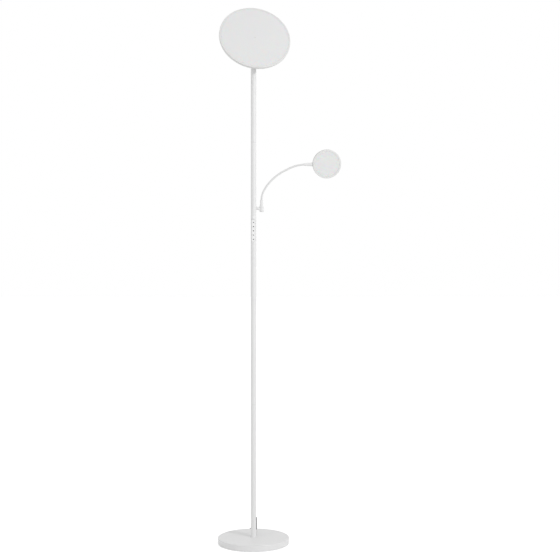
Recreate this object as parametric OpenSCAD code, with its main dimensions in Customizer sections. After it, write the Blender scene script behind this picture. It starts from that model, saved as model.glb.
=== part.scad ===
// Floor lamp: a weighted round base, a pole of four tubes, a large tilting light disc on top,
// a five-key control strip and a bendable neck that carries a small round reading light.
// Millimetres. Z is up, the front faces -Y, and the origin is the centre of the base's underside.

/* [Base] */
// Diameter of the round base
base_d = 239; // [200:1:280]
// Height of the base's top above the floor
base_h = 21; // [18:0.5:30]
// Sheet thickness of the base cover
cover_wall = 1.5; // [1:0.1:2.5]
// Radius of the rounded top edge of the cover
cover_edge_r = 2; // [1.8:0.1:5]
// Gap between the cover's lower rim and the floor
cover_lift = 0.8; // [0.4:0.1:1.5]
// Thickness of the soft pad under the base
pad_t = 1.6; // [1:0.1:3]
// How far the pad's edge stays inside the base's edge
pad_inset = 5.5; // [3:0.5:15]
// Diameter of the anchor bolt's thread
bolt_d = 10; // [8:1:12]
// Height of the anchor bolt's hexagon head
bolt_head_h = 6.4; // [5:0.1:7]
// Width across the flats of the anchor bolt's head
bolt_flats = 17; // [13:1:19]
// Outer diameter of the anchor bolt's washer
washer_d = 30; // [24:1:40]
// Thickness of that washer
washer_t = 2; // [1:0.5:3]
// Length of the plug in the pole's foot
foot_plug_l = 30; // [20:1:50]
// Height of the collar round the pole's foot
foot_collar_h = 2.6; // [2:0.1:8]
// Wall of the collar round the pole's foot
foot_collar_t = 1.5; // [1:0.1:4]

/* [Pole] */
// Outer diameter of the pole
tube_d = 18; // [17:0.5:22]
// Wall of the pole's tubes
tube_wall = 1.5; // [1:0.1:1.8]
// Height of the lowest joint in the pole
seam_low_z = 466; // [300:1:700]
// Height of the joint above the control strip
seam_mid_z = 1089; // [1088.5:0.5:1096]
// Height of the joint between the arm and the head
seam_high_z = 1348; // [1250:1:1450]
// Height of the pole's open top end
pole_top_z = 1660; // [1630:1:1662]
// Chamfer on each tube end, which shows as a fine line at a joint
seam_chamfer = 0.4; // [0.2:0.1:0.6]
// Length of each coupler inside a joint
coupler_l = 50; // [30:1:60]
// Bore of the couplers, which the wire passes
coupler_bore_d = 9; // [8.5:0.1:10]
// Diameter of the wire inside the pole
wire_d = 2.8; // [1.5:0.1:3]
// How far the wire lies behind the pole's axis
wire_back = 3; // [2.5:0.1:3]

/* [Control strip] */
// Height of the middle of the control strip
panel_z = 1050; // [1040:0.5:1051]
// Length of the control strip
panel_l = 73; // [72:1:75]
// Width of the control strip
panel_w = 10.4; // [9.5:0.1:11]
// How far the strip's middle stands proud of the pole
panel_proud = 0.2; // [0.1:0.1:1]
// Thickness of the strip's front wall
panel_wall = 1.4; // [1:0.1:1.6]
// Thickness of the strip's side walls
panel_side = 0.8; // [0.6:0.1:0.9]
// Radius of the strip's corners
panel_corner_r = 2.4; // [1:0.1:4]
// Number of keys in the strip
key_count = 5; // [5]
// Distance between two keys
key_pitch = 14.2; // [10:0.1:15]
// Diameter of a key
key_d = 3; // [2.8:0.1:5]
// How far a key stands proud of the strip
key_proud = 0.6; // [0.6:0.1:1]
// How far a key can be pressed
key_travel = 0.5; // [0.3:0.1:0.5]
// Thickness of the flange behind each key
key_flange_t = 0.6; // [0.5:0.1:0.8]
// Width of the switch under each key
switch_w = 4.4; // [4:0.1:5]
// Height of that switch
switch_h = 1.9; // [1.5:0.1:1.9]
// Thickness of the control board
board_t = 1.2; // [0.8:0.1:1.2]

/* [Arm and neck] */
// Distance from the pole's axis to the arm's upright swivel axis
arm_x = 27; // [26:0.5:34]
// Turn of the arm about its swivel, from straight right towards the back
arm_yaw = 6.8; // [-30:0.1:30]
// Height of the bracket's stub where it leaves the pole
stub_z = 1127.5; // [1124:0.5:1150]
// Diameter of the bracket's stub
stub_d = 10.4; // [8:0.1:12]
// Downward slope of the stub
stub_slope = 12; // [0:1:15]
// Outer diameter of the bracket's cup
cup_d = 14; // [13:0.1:16]
// Height of the bracket's cup
cup_h = 14.6; // [13:0.1:18]
// Height of the cup's underside
cup_z = 1114; // [1112:0.5:1116]
// Diameter of the swivel pin in the cup
swivel_pin_d = 6; // [5:0.1:6]
// Diameter of the sleeve over the neck's lower end
sleeve_d = 10.4; // [9.5:0.1:11]
// Diameter of the sleeve's flared foot
sleeve_foot_d = 13.4; // [12:0.1:15]
// Height of the sleeve's top end
sleeve_top_z = 1154.5; // [1154:0.5:1165]
// Diameter of the bendable neck
neck_d = 6.5; // [6:0.1:7]
// Height where the neck starts to bend
neck_start_z = 1153; // [1150:0.5:1154]
// Length of each link of the neck
link_l = 33.9; // [30:0.1:38]
// Half of the gap between two links
link_gap = 0.35; // [0.3:0.05:0.5]
// Diameter of the ball that joins two links
ball_d = 4.4; // [4:0.1:4.6]
// Length of the tapered ferrule at the neck's far end
ferrule_l = 28.6; // [26:0.1:34]
// Diameter of the ferrule's wide end
ferrule_d = 12.6; // [12:0.1:13]

/* [Reading light] */
// Diameter of the reading light
reading_d = 97.4; // [80:0.2:120]
// Thickness of the reading light
reading_t = 16; // [12.8:0.1:18]
// Downward turn of the reading light about its stem
reading_roll = 14; // [0:1:40]
// Wall of its housing
reading_wall = 1.5; // [1.2:0.1:2]
// Height of its front ring
reading_ring_h = 2; // [1.6:0.1:2.4]
// Width of its front ring
reading_ring_w = 6.6; // [5:0.1:8]
// Thickness of its diffuser
reading_lens_t = 1.6; // [1.2:0.1:2]
// How far its diffuser lies behind the front ring
reading_lens_recess = 0.5; // [0.3:0.1:0.8]
// Diameter of the pin in its rim
reading_pin_d = 5; // [4:0.1:5]
// Length of that pin outside the rim
reading_pin_l = 15; // [12:0.5:15]

/* [Light disc] */
// Diameter of the light disc
disc_d = 240.8; // [200:0.2:280]
// Thickness of the light disc
disc_t = 9.6; // [8.8:0.1:12]
// Turn of the light disc about the pole, from straight forward to the right
disc_pan = 11.8; // [-30:0.1:30]
// Upward tilt of the light disc
disc_tilt = 23.4; // [0:0.1:30]
// Height of the tilt axis
tilt_z = 1683; // [1683:0.5:1720]
// Distance from the tilt axis to the disc's back
tilt_back = 21.5; // [19.5:0.5:24]
// Wall of the disc's outer ring
rim_wall = 1.6; // [1.4:0.1:2]
// Width of the outer ring's front lip
rim_lip_w = 5.6; // [4:0.1:8]
// Thickness of the outer ring's front lip
rim_lip_t = 1; // [0.8:0.1:1.2]
// Width of the outer ring's inner ledge, which the back sheet is screwed to
rim_ledge_w = 7; // [6:0.1:9]
// Thickness of that ledge
rim_ledge_t = 2; // [1.8:0.1:2.4]
// Thickness of the disc's back sheet
back_t = 1.2; // [1:0.1:1.5]
// Thickness of the reflector sheet
reflector_t = 0.8; // [0.3:0.1:1]
// Thickness of the diffuser
diffuser_t = 2.4; // [1.8:0.1:3]
// How far the diffuser's face lies behind the ring's front
face_recess = 0.4; // [0.2:0.1:0.6]
// Diameter of the pin at the disc's centre
centre_pin_d = 2.4; // [2:0.1:3]
// Diameter of the hub on the disc's back
hub_d = 64; // [50:1:90]
// Height of that hub
hub_h = 8; // [7:0.1:8]
// Wall of that hub
hub_wall = 1.8; // [1.5:0.1:2.2]
// Thickness of the hub's hinge lug
lug_t = 8; // [6:0.5:8]
// Radius of the hinge's rounded ends
lug_r = 7.5; // [7:0.1:8]
// Thickness of each cheek of the yoke
cheek_t = 3.2; // [2.6:0.1:3.4]
// Diameter of the tilt pin
tilt_pin_d = 5; // [4:0.1:5.4]
// Thickness of each friction washer
tilt_washer_t = 0.7; // [0.5:0.1:1]
// Diameter of the yoke's stem in the pole
stem_d = 9.6; // [8:0.1:10]
// Length of the yoke's stem below the pole's top
stem_l = 34; // [25:1:45]

/* [Supply lead] */
// Diameter of the supply lead
lead_d = 3.5; // [3.5]
// Height of the lead's outlet above the floor
outlet_z = 82; // [76:1:84]
// Turn of the outlet from straight back to the right
outlet_turn = 34; // [33:0.5:35]
// Diameter of the strain relief's round head
boot_head_d = 9.4; // [9:0.1:9.6]
// Pitch between two turns of the hank
hank_pitch = 4.1; // [4.1]
// Number of turns in each layer of the hank
hank_turns = 3; // [3]
// Length of the hank's straight runs
hank_run = 62; // [56:1:64]

/* [Fits] */
// Clearance of a shaft in its bore, on the radius
run_fit = 0.05; // [0.02:0.01:0.08]
// Clearance between fixed pieces that slide together
slip = 0.2; // [0.1:0.05:0.3]
// Clearance of a washer or clip along its shaft
play = 0.2; // [0.1:0.05:0.3]

/* [Hidden] */
$fn = 64;

white = "#e6e6e4";
opal = "#f4f4f1";
black = "#1d1e20";
steel = "#a9abad";

base_r = base_d / 2;
cover_in_r = base_r - cover_wall;
cover_in_z = base_h - cover_wall;
bolt_r = bolt_d / 2;
bolt_hole_r = bolt_r + 0.3;
recess_r = washer_d / 2 + 1;
bolt_head_z = pad_t + 1.6;
washer_z = bolt_head_z + bolt_head_h;
recess_top_z = washer_z + washer_t;

bolt_short = 4;
bolt_top_z = base_h + foot_plug_l - bolt_short;

tube_r = tube_d / 2;
bore_r = tube_r - tube_wall;
plug_r = bore_r - run_fit;
foot_plug_top = base_h + foot_plug_l;
wire_r = wire_d / 2;
wire_end_r = bore_r - 1;
wire_end_gap = 0.6;
wire_top_gap = 4;

panel_front = tube_r + panel_proud;
panel_back = panel_front - panel_wall;
key_r = key_d / 2;
key_fit = 0.1;
key_flange_r = key_r + 0.6;
flange_front = panel_back - key_fit;
switch_top = flange_front - key_flange_t - key_travel - key_fit;
plunger_r = 1.1;
plunger_h = 0.5;
board_front = switch_top - switch_h;
board_back = board_front - board_t;
panel_high_z = panel_z + panel_l / 2;
recess_w = panel_w - 2 * panel_side;
recess_corner_r = panel_corner_r - panel_side;
key_room = 0.3;
key_row = (key_count - 1) * key_pitch;
key_bay_l = key_row + 2 * (max(switch_w / 2, key_flange_r) + key_room);
tab_w = 5;
tab_l = 1.6;
tab_t = 1.3;
tab_front = sqrt(bore_r * bore_r - tab_w * tab_w / 4) - slip;
coupler_gap = 0.5;

link_turns = [27.5, 13.5, 12, 9, 8, 17.5];
link_count = len(link_turns);
neck_r = neck_d / 2;
ball_r = ball_d / 2;
cup_top_z = cup_z + cup_h;
swivel_pin_r = swivel_pin_d / 2;
stub_spigot_r = 3.5;
stub_end_z = stub_z - (arm_x - tube_r) * tan(stub_slope);
clip_seat_z = cup_z + 4.5;
clip_t = 2;
clip_r = swivel_pin_r + 1.8;
pin_short = 1;
sleeve_z = cup_top_z + play;
neck_root = 10;
neck_root_z = sleeve_z + neck_root;
root_lap = 1;
neck_tail = 8;
neck_tail_r = neck_r - 0.5;
ball_stalk_r = ball_r * 0.6;
ball_stalk_l = 2;
reading_r = reading_d / 2;
reading_gap = 0.5;
reading_pin_r = reading_pin_d / 2;
reading_pin_in = 3;
reading_body_t = reading_t - reading_ring_h;
reading_in_r = reading_r - reading_wall;
ring_in_r = reading_r - reading_ring_w;
ring_skirt_r = reading_in_r - 0.1;
reading_lens_top = reading_t - reading_lens_recess;
reading_lens_low = reading_lens_top - reading_lens_t;
reading_lens_lip = 0.6;
lens_grip = 1;
reading_board_z = 4.5;
reading_board_t = 1.6;
reading_board_top = reading_board_z + reading_board_t;
reading_board_gap = 3;
reading_board_r = ring_in_r - reading_board_gap;
reading_bosses = 3;
reading_boss_in = 9.4;
reading_boss_at = reading_board_r - reading_boss_in;
reading_boss_turn = 60;
reading_boss_r = 3;
screw_r = 1.5;
screw_hold = 0.2;
thread_r = screw_r - screw_hold - run_fit;
screw_head_r = 2.8;
screw_head_t = 1.4;
grub_r = 1.5;
grub_in = 7;
grub_at = ferrule_l - grub_in;
groove_depth = 0.9;

disc_r = disc_d / 2;
rim_in_r = disc_r - rim_wall;
ledge_in_r = rim_in_r - rim_ledge_w;
ledge_top = back_t + rim_ledge_t;
led_strip_t = 0.5;
led_out_r = rim_in_r - 0.1;
led_in_r = led_out_r - led_strip_t;
stack_r = led_in_r - slip;
reflector_z = ledge_top;
guide_z = reflector_z + reflector_t;
lip_z = disc_t - rim_lip_t;
face_z = disc_t - face_recess;
flange_z = face_z - diffuser_t;
guide_t = flange_z - play - guide_z;
lip_in_r = disc_r - rim_lip_w;
centre_pin_r = centre_pin_d / 2;
centre_pin_foot_t = 1.2;
centre_pin_head_t = 0.3;
hub_r = hub_d / 2;
hub_floor_z = hub_wall - hub_h;
hub_screw_in = 7;
hub_screw_at = hub_r - hub_screw_in;
hub_boss_r = 3;
lug_half = lug_t / 2;
washer_gap = 0.05;
cheek_in = lug_half + tilt_washer_t + 2 * washer_gap;
cheek_out = cheek_in + cheek_t;
tilt_pin_r = tilt_pin_d / 2;
tilt_head_r = tilt_pin_r + 1.6;
tilt_head_t = 2.6;
tilt_thread_l = 3.5;
tilt_nut_t = 2.6;
tilt_cap_t = 1.8;
stem_r = stem_d / 2;
bush_flange_t = 3;
yoke_flange_t = 4;
yoke_flange_z = pole_top_z + bush_flange_t + play;
stem_low_z = pole_top_z - stem_l;
pan_clip_t = 2;
pan_clip_r = plug_r - 2 * slip;
bush_low_z = stem_low_z + 6;
hub_screws = 3;
hub_screw_turn = 90;
back_screws = 8;
back_screw_at = rim_in_r - rim_ledge_w / 2;
back_screw_turn = 180 / back_screws;
back_head_r = 2.2;
back_head_t = 0.8;

lead_r = lead_d / 2;
lead_sides = 8;
hank_sides = 6;
hank_rings = 24;
tie_t = 0.3;
tie_w = 8;
tie_corner_r = 1.2;
tie_gap = 0.1;
hank_floor = tie_t + tie_gap;
hank_low_z = hank_floor + lead_r;
layer_rise = 3.95;
hank_high_z = hank_low_z + layer_rise;
hank_in_r = 8.2;
hank_waist = 5;
hank_x = -4;
hank_near_y = 122.6;
hank_tail_l = 24;

// Route of the lead from the strain relief's end, over the base's back edge, to the hank
lead_route = [
  [6.9, 18.6, 42.5], [6.95, 19.6, 38.1], [6.8, 21.5, 33.8], [6.4, 24.7, 29.6], [5.9, 29.1, 26.1],
  [5.4, 34.7, 23.75], [5, 41.5, 22.85], [4.8, 50, 22.8], [4.6, 60, 22.8], [4.3, 71, 22.8], [4, 82, 22.8],
  [3.7, 92, 22.8], [3.1, 99, 22.8], [1.6, 105.4, 22.8], [-0.9, 111, 22.8], [-4.2, 115.3, 22.85],
  [-7, 117.96, 22.81], [-9.5, 119.11, 22.32], [-12, 119.95, 21.38], [-14.6, 120.32, 20.13],
  [-17.4, 120.75, 17.7], [-20.2, 121.7, 14.9], [-23, 122.3, 12], [-25.5, 122.55, 9.2],
  [-27.2, 122.6, 7.5], [-28.8, 122.6, 6.4], [-30.2, 122.6, 6.1], [-31.5, 122.6, 6.1]
];

boot_neck_r = 3.4;
boot_end_r = 4.3;
boot_root_r = 4.6;
boot_out = 2.6;
boot_dome = 1.6;

function unit(v) = v / norm(v);
function total(v, n) = n <= 0 ? 0 : v[n - 1] + total(v, n - 1);

// Place and heading of the neck's joints in the arm's upright plane: [reach, height, heading]
function link_turn_at(i) = total(link_turns, i);
function link_step(i) = let (r = link_l / (link_turns[i] * PI / 180), a = link_turn_at(i),
    b = link_turn_at(i + 1)) [r * (cos(a) - cos(b)), r * (sin(b) - sin(a))];
function link_at(i) = i == 0 ? [0, neck_start_z] : link_at(i - 1) + link_step(i - 1);

neck_end = link_at(link_count);
neck_end_turn = link_turn_at(link_count);
echo(neck_joints = [for (i = [0 : link_count]) link_at(i)]);

// A tube of flat facets along a list of points, with its rings square to the way it runs
function way(p, i) = unit(p[min(i + 1, len(p) - 1)] - p[max(i - 1, 0)]);
function ring(c, d, r, n, ref) = let (u = unit(cross(d, ref)), v = cross(d, u))
    [for (k = [0 : n - 1]) c + r * (cos(k * 360 / n) * u + sin(k * 360 / n) * v)];

module swept_tube(p, r, n, ref) {
  rows = len(p);
  pts = [for (i = [0 : rows - 1]) each ring(p[i], way(p, i), r, n, ref)];
  walls = [for (i = [0 : rows - 2]) for (k = [0 : n - 1]) let (a = i * n + k,
      b = i * n + (k + 1) % n) each [[a, b, b + n], [a, b + n, a + n]]];
  first = [for (k = [1 : n - 2]) [0, k + 1, k]];
  last = [for (k = [1 : n - 2]) [(rows - 1) * n, (rows - 1) * n + k, (rows - 1) * n + k + 1]];
  polyhedron(points = pts, faces = concat(walls, first, last), convexity = 10);
}

// The hank: turns run inwards in the upper layer, step down along the near run, and run outwards
// in the lower layer. A turn starts at the near run's left end and goes round by the left bend.
hank_total = 2 * hank_turns;
step_at = hank_turns - 1 / 12;
step_half = 1 / 12;
function hank_r(u) = hank_in_r + hank_pitch * abs(u - step_at);
function step_done(u) = min(1, max(0, (u - step_at + step_half) / (2 * step_half)));
function hank_z(u) = hank_high_z - layer_rise * (1 - cos(180 * step_done(u))) / 2;
hank_y = hank_near_y + hank_r(0);
function waist(x) = hank_waist * (1 + cos(360 * x / hank_run)) / 2;
function hank_flat(f, r) = f < 1 / 3
    ? let (a = 270 - 540 * f) [-hank_run / 2 + r * cos(a), r * sin(a)]
  : f < 1 / 2
    ? let (x = hank_run * (6 * f - 2.5)) [x, r - waist(x)]
  : f < 5 / 6
    ? let (a = 90 - 540 * (f - 1 / 2)) [hank_run / 2 + r * cos(a), r * sin(a)]
    : let (x = hank_run * (5.5 - 6 * f)) [x, -(r - waist(x))];
function hank_point(u) = let (q = hank_flat(u - floor(u), hank_r(u)))
    [hank_x + q[0], hank_y + q[1], hank_z(u)];
hank_start = hank_point(0);
hank_end = [hank_start[0], hank_y - hank_r(hank_total), hank_low_z];
hank_path = concat([hank_start + [lead_d, 0, 0]],
  [for (i = [0 : hank_total * hank_rings - 1]) hank_point(i / hank_rings)],
  [hank_end, hank_end - [hank_tail_l / 2, 0, 0], hank_end - [hank_tail_l, 0, 0]]);
connector_at = hank_path[len(hank_path) - 1];

function run_length(p, i = 1) = i >= len(p) ? 0 : norm(p[i] - p[i - 1]) + run_length(p, i + 1);
hank_near = [for (i = [0 : len(hank_path) - 1]) for (j = [i + hank_rings / 3 : len(hank_path) - 2])
    let (a = hank_path[j], b = hank_path[j + 1], d = b - a,
      t = min(1, max(0, (hank_path[i] - a) * d / (d * d)))) norm(hank_path[i] - a - t * d)];
echo(hank_least_gap = min(hank_near) - lead_d);
echo(lead_length = run_length(lead_route), hank_length = run_length(hank_path));

// Shared shapes

module cyl(r, z0, z1, n = 64) {
  translate([0, 0, z0]) cylinder(r = r, h = z1 - z0, $fn = n);
}

module pipe(r_out, r_in, z0, z1, n = 64) {
  difference() {
    cyl(r_out, z0, z1, n);
    cyl(r_in, z0 - 1, z1 + 1, n);
  }
}

// A ring or disc turned from an outline of [radius, height] points
module turned(outline, n = 96) {
  rotate_extrude($fn = n) polygon(outline);
}

// Points of a quarter round from one angle to another
function arc(cx, cy, r, a0, a1, n = 8) =
  [for (i = [0 : n]) let (a = a0 + (a1 - a0) * i / n) [cx + r * cos(a), cy + r * sin(a)]];

module rounded_plate(w, l, r) {
  square([w - 2 * r, l], center = true);
  square([w, l - 2 * r], center = true);
  for (x = [-1, 1]) for (y = [-1, 1]) translate([x * (w / 2 - r), y * (l / 2 - r)]) circle(r = r, $fn = 32);
}

// Local z points forward from the pole's axis and local y points up
module facing_front(z) {
  translate([0, 0, z]) rotate([90, 0, 0]) children();
}

// The arm's own frame: its swivel axis is z, and x points along the arm
module arm_frame() {
  translate([arm_x, 0, 0]) rotate([0, 0, arm_yaw]) children();
}

// The end of the neck: local x points along the neck, away from the pole
module neck_end_frame() {
  arm_frame() translate([neck_end[0], 0, neck_end[1]]) rotate([0, neck_end_turn - 90, 0]) children();
}

// The reading light: local z points the way it shines, from its back face
module reading_frame() {
  neck_end_frame() translate([ferrule_l + reading_gap + reading_r, 0, 0])
    rotate([90 + reading_roll, 0, 0]) translate([0, 0, -reading_t / 2]) children();
}

// The tilt axis: local x lies along the tilt pin
module tilt_frame() {
  translate([0, 0, tilt_z]) rotate([0, 0, disc_pan]) children();
}

// The light disc: local z points the way it shines, from its back face
module disc_frame() {
  tilt_frame() rotate([90 - disc_tilt, 0, 0]) translate([0, 0, tilt_back]) children();
}

module round_about(count, at, start = 0) {
  for (i = [0 : count - 1]) rotate([0, 0, start + i * 360 / count]) translate([at, 0, 0]) children();
}

// Base

module base_pad() {
  color("#3a3b3d") cyl(base_r - pad_inset, 0, pad_t, 96);
}

module base_weight() {
  r = cover_in_r - slip;
  ease = cover_edge_r;
  color("#5c5e60") difference() {
    turned([[0, pad_t], [r, pad_t], [r, cover_in_z - ease], [r - ease, cover_in_z], [0, cover_in_z]]);
    cyl(bolt_hole_r, 0, base_h);
    cyl(recess_r, 0, recess_top_z);
  }
}

module base_cover() {
  inner_r = cover_edge_r - cover_wall;
  edge = arc(base_r - cover_edge_r, base_h - cover_edge_r, cover_edge_r, 0, 90);
  inside = arc(base_r - cover_edge_r, base_h - cover_edge_r, inner_r, 90, 0);
  color(white) turned(concat([[cover_in_r, cover_lift], [base_r, cover_lift]], edge,
    [[bolt_hole_r, base_h], [bolt_hole_r, cover_in_z]], inside), 128);
}

module anchor_bolt() {
  color(steel) {
    translate([0, 0, bolt_head_z]) cylinder(r = bolt_flats / 2 / cos(30), h = bolt_head_h, $fn = 6);
    cyl(bolt_r, washer_z, bolt_top_z);
  }
}

module anchor_washer() {
  color(steel) pipe(washer_d / 2, bolt_hole_r, washer_z, recess_top_z);
}

module foot_collar() {
  r_in = tube_r + run_fit;
  r_out = tube_r + foot_collar_t;
  soft = foot_collar_t * 0.6;
  color(white) turned(concat([[r_in, base_h], [r_out, base_h]],
    arc(r_out - soft, base_h + foot_collar_h - soft, soft, 0, 90), [[r_in, base_h + foot_collar_h]]));
}

module foot_plug() {
  color(steel) pipe(plug_r, bolt_r + run_fit, base_h, foot_plug_top);
}

// Pole

module tube(z0, z1) {
  c = seam_chamfer;
  turned([[bore_r, z0], [tube_r - c, z0], [tube_r, z0 + c], [tube_r, z1 - c], [tube_r - c, z1], [bore_r, z1]],
    64);
}

module lower_tube() {
  color(white) difference() {
    tube(base_h, seam_low_z);
    outlet_frame() cyl(boot_neck_r + run_fit, 0, tube_r + 5, 32);
  }
}

module middle_tube() {
  color(white) difference() {
    tube(seam_low_z, seam_mid_z);
    facing_front(panel_z) linear_extrude(tube_r + 2)
      rounded_plate(panel_w + 2 * slip, panel_l + 2 * slip, panel_corner_r);
  }
}

module upper_tube() {
  color(white) difference() {
    tube(seam_mid_z, seam_high_z);
    translate([0, 0, stub_z]) rotate([0, 90, 0]) cyl(stub_spigot_r + run_fit, 0, tube_r + 2, 32);
  }
}

module top_tube() {
  color(white) tube(seam_high_z, pole_top_z);
}

module tube_couplers() {
  color(steel) for (z = [seam_low_z, seam_high_z])
    pipe(plug_r, coupler_bore_d / 2, z - coupler_l / 2, z + coupler_l / 2);
}

module middle_coupler() {
  low_z = seam_mid_z - coupler_l / 2;
  cut_top_z = panel_high_z + tab_l + coupler_gap;
  color(steel) difference() {
    pipe(plug_r, coupler_bore_d / 2, low_z, low_z + coupler_l);
    translate([-tube_r, -tube_r - board_back + coupler_gap, low_z - 1])
      cube([tube_d, tube_r, cut_top_z - low_z + 1]);
  }
}

module top_bush() {
  color("#cfcfcb") {
    pipe(plug_r, stem_r + run_fit, bush_low_z, pole_top_z);
    pipe(tube_r, stem_r + run_fit, pole_top_z, pole_top_z + bush_flange_t);
  }
}

module pole_wire() {
  side = wire_end_r * sin(outlet_turn);
  back = wire_end_r * cos(outlet_turn) - wire_back;
  color("#2b2c2e") translate([0, wire_back, 0]) {
    cyl(wire_r, outlet_z, stem_low_z - wire_top_gap, 24);
    translate([0, 0, outlet_z]) {
      sphere(r = wire_r, $fn = 24);
      rotate([0, 90, atan2(back, side)]) cyl(wire_r, 0, norm([side, back]) - wire_end_gap, 24);
    }
  }
}

// Control strip

function key_z(i) = panel_z + key_row / 2 - (i - 1) * key_pitch;

module control_bezel() {
  depth = panel_front - board_back;
  color(opal) {
    difference() {
      facing_front(panel_z) translate([0, 0, board_back]) linear_extrude(depth)
        rounded_plate(panel_w, panel_l, panel_corner_r);
      facing_front(panel_z) translate([0, 0, board_back - 1]) {
        linear_extrude(panel_back - board_back + 1)
          square([recess_w - 2 * panel_side, key_bay_l], center = true);
        linear_extrude(board_front - board_back + 1) rounded_plate(recess_w, key_bay_l, recess_corner_r);
      }
      for (i = [1 : key_count]) facing_front(key_z(i)) cyl(key_r + key_fit, board_back, panel_front + 1, 32);
    }
    for (turn = [0, 180]) facing_front(panel_z) rotate([0, 0, turn])
      translate([-tab_w / 2, panel_l / 2 - panel_side, tab_front - tab_t])
        cube([tab_w, tab_l + panel_side, tab_t]);
  }
}

module control_board() {
  color("#2f6b45") facing_front(panel_z) translate([0, 0, board_back]) linear_extrude(board_t)
    rounded_plate(recess_w - 2 * run_fit, key_bay_l - 2 * run_fit, recess_corner_r);
}

module tact_switches() {
  body_h = switch_h - plunger_h;
  color("#303134") for (i = [1 : key_count]) facing_front(key_z(i)) {
    translate([-switch_w / 2, -switch_w / 2, board_front]) cube([switch_w, switch_w, body_h]);
    cyl(plunger_r, switch_top - plunger_h, switch_top, 24);
  }
}

module button(i) {
  low = flange_front - key_flange_t;
  color(black) facing_front(key_z(i)) {
    cyl(key_r, low, panel_front + key_proud, 32);
    cyl(key_flange_r, low, flange_front, 32);
  }
}

module button_1() { button(1); }
module button_2() { button(2); }
module button_3() { button(3); }
module button_4() { button(4); }
module button_5() { button(5); }

// Arm bracket and neck

module arm_bracket() {
  soft = 2.5;
  cup_r = cup_d / 2;
  color(white) difference() {
    union() {
      translate([arm_x, 0, stub_end_z]) rotate([0, -90 + stub_slope, 0])
        cyl(stub_d / 2, 0, arm_x / cos(stub_slope), 48);
      translate([0, 0, stub_z]) rotate([0, 90, 0]) cyl(stub_spigot_r, bore_r + slip, arm_x - cup_r, 32);
      translate([arm_x, 0, 0]) turned(concat([[0, cup_z]],
        arc(cup_r - soft, cup_z + soft, soft, -90, 0), [[cup_r, cup_top_z], [0, cup_top_z]]), 64);
    }
    difference() {
      cyl(tube_r, cup_z, stub_z + stub_d);
      translate([0, 0, stub_z]) rotate([0, 90, 0]) cyl(stub_spigot_r, bore_r + slip, tube_r + 1, 32);
    }
    translate([arm_x, 0, 0]) {
      cyl(swivel_pin_r + run_fit, cup_z - 1, cup_top_z + 1);
      cyl(clip_r + play, cup_z - 1, clip_seat_z);
      cyl(cup_r, cup_top_z, cup_top_z + stub_d);
    }
  }
}

module arm_sleeve() {
  r = sleeve_d / 2;
  foot_r = sleeve_foot_d / 2;
  soft = 0.8;
  lip_h = 3.5;
  flare_h = 10;
  bend_room = 0.6;
  color(white) arm_frame() {
    difference() {
      turned([[0, sleeve_z], [foot_r - soft, sleeve_z], [foot_r, sleeve_z + soft],
        [foot_r - soft, sleeve_z + lip_h], [r + soft / 2, sleeve_z + 0.7 * flare_h], [r, sleeve_z + flare_h],
        [r, sleeve_top_z - soft], [r - soft, sleeve_top_z], [0, sleeve_top_z]], 64);
      cyl(neck_r + run_fit, neck_root_z, sleeve_top_z + 1);
      cyl(neck_r + bend_room, neck_start_z - 1, sleeve_top_z + 1);
    }
    cyl(swivel_pin_r, cup_z + pin_short, sleeve_z + 1);
  }
}

module swivel_clip() {
  top = clip_seat_z - play;
  color(steel) arm_frame() pipe(clip_r, swivel_pin_r + run_fit, top - clip_t, top, 48);
}

// One link of the neck: an arc of tube with a ball at its far end and a socket at its near end
module neck_link(i) {
  turn = link_turns[i - 1];
  bend_r = link_l / (turn * PI / 180);
  trim = link_gap * 180 / PI / bend_r;
  low = i == 1 ? 0 : trim;
  high = i == link_count ? 0 : trim;
  at = link_at(i - 1);
  color(white) arm_frame() difference() {
    union() {
      translate([at[0], 0, at[1]]) rotate([0, link_turn_at(i - 1), 0]) translate([bend_r, 0, 0])
        rotate([90, 0, 0]) rotate([0, 0, 180 - turn + high])
          rotate_extrude(angle = turn - low - high, $fn = 96)
            translate([bend_r, 0]) circle(r = neck_r, $fn = 32);
      if (i < link_count) translate([link_at(i)[0], 0, link_at(i)[1]]) rotate([0, link_turn_at(i), 0]) {
        sphere(r = ball_r, $fn = 32);
        cyl(ball_stalk_r, -ball_stalk_l, 0, 24);
      }
      if (i == 1) cyl(neck_r - run_fit, neck_root_z, neck_start_z + root_lap, 32);
      if (i == link_count) translate([neck_end[0], 0, neck_end[1]]) rotate([0, neck_end_turn, 0])
        cyl(neck_tail_r, -root_lap, neck_tail, 32);
    }
    if (i > 1) translate([at[0], 0, at[1]]) rotate([0, link_turn_at(i - 1), 0])
      sphere(r = ball_r + run_fit, $fn = 32);
  }
}

module neck_link_1() { neck_link(1); }
module neck_link_2() { neck_link(2); }
module neck_link_3() { neck_link(3); }
module neck_link_4() { neck_link(4); }
module neck_link_5() { neck_link(5); }
module neck_link_6() { neck_link(6); }

module neck_ferrule() {
  small_r = neck_r + 0.9;
  big_r = ferrule_d / 2;
  soft = 0.5;
  color(white) neck_end_frame() rotate([0, 90, 0]) difference() {
    turned([[0, 0], [small_r - soft, 0], [small_r, soft], [big_r - soft, ferrule_l * 0.82],
      [big_r, ferrule_l * 0.9], [big_r, ferrule_l - soft], [big_r - soft, ferrule_l], [0, ferrule_l]], 64);
    cyl(neck_tail_r + run_fit, -1, neck_tail + slip, 32);
    cyl(reading_pin_r + run_fit, ferrule_l - reading_pin_l - slip, ferrule_l + 1, 32);
    translate([0, 0, grub_at]) rotate([0, 90, 0]) cyl(grub_r + run_fit, 0, big_r + 1, 24);
  }
}

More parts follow.
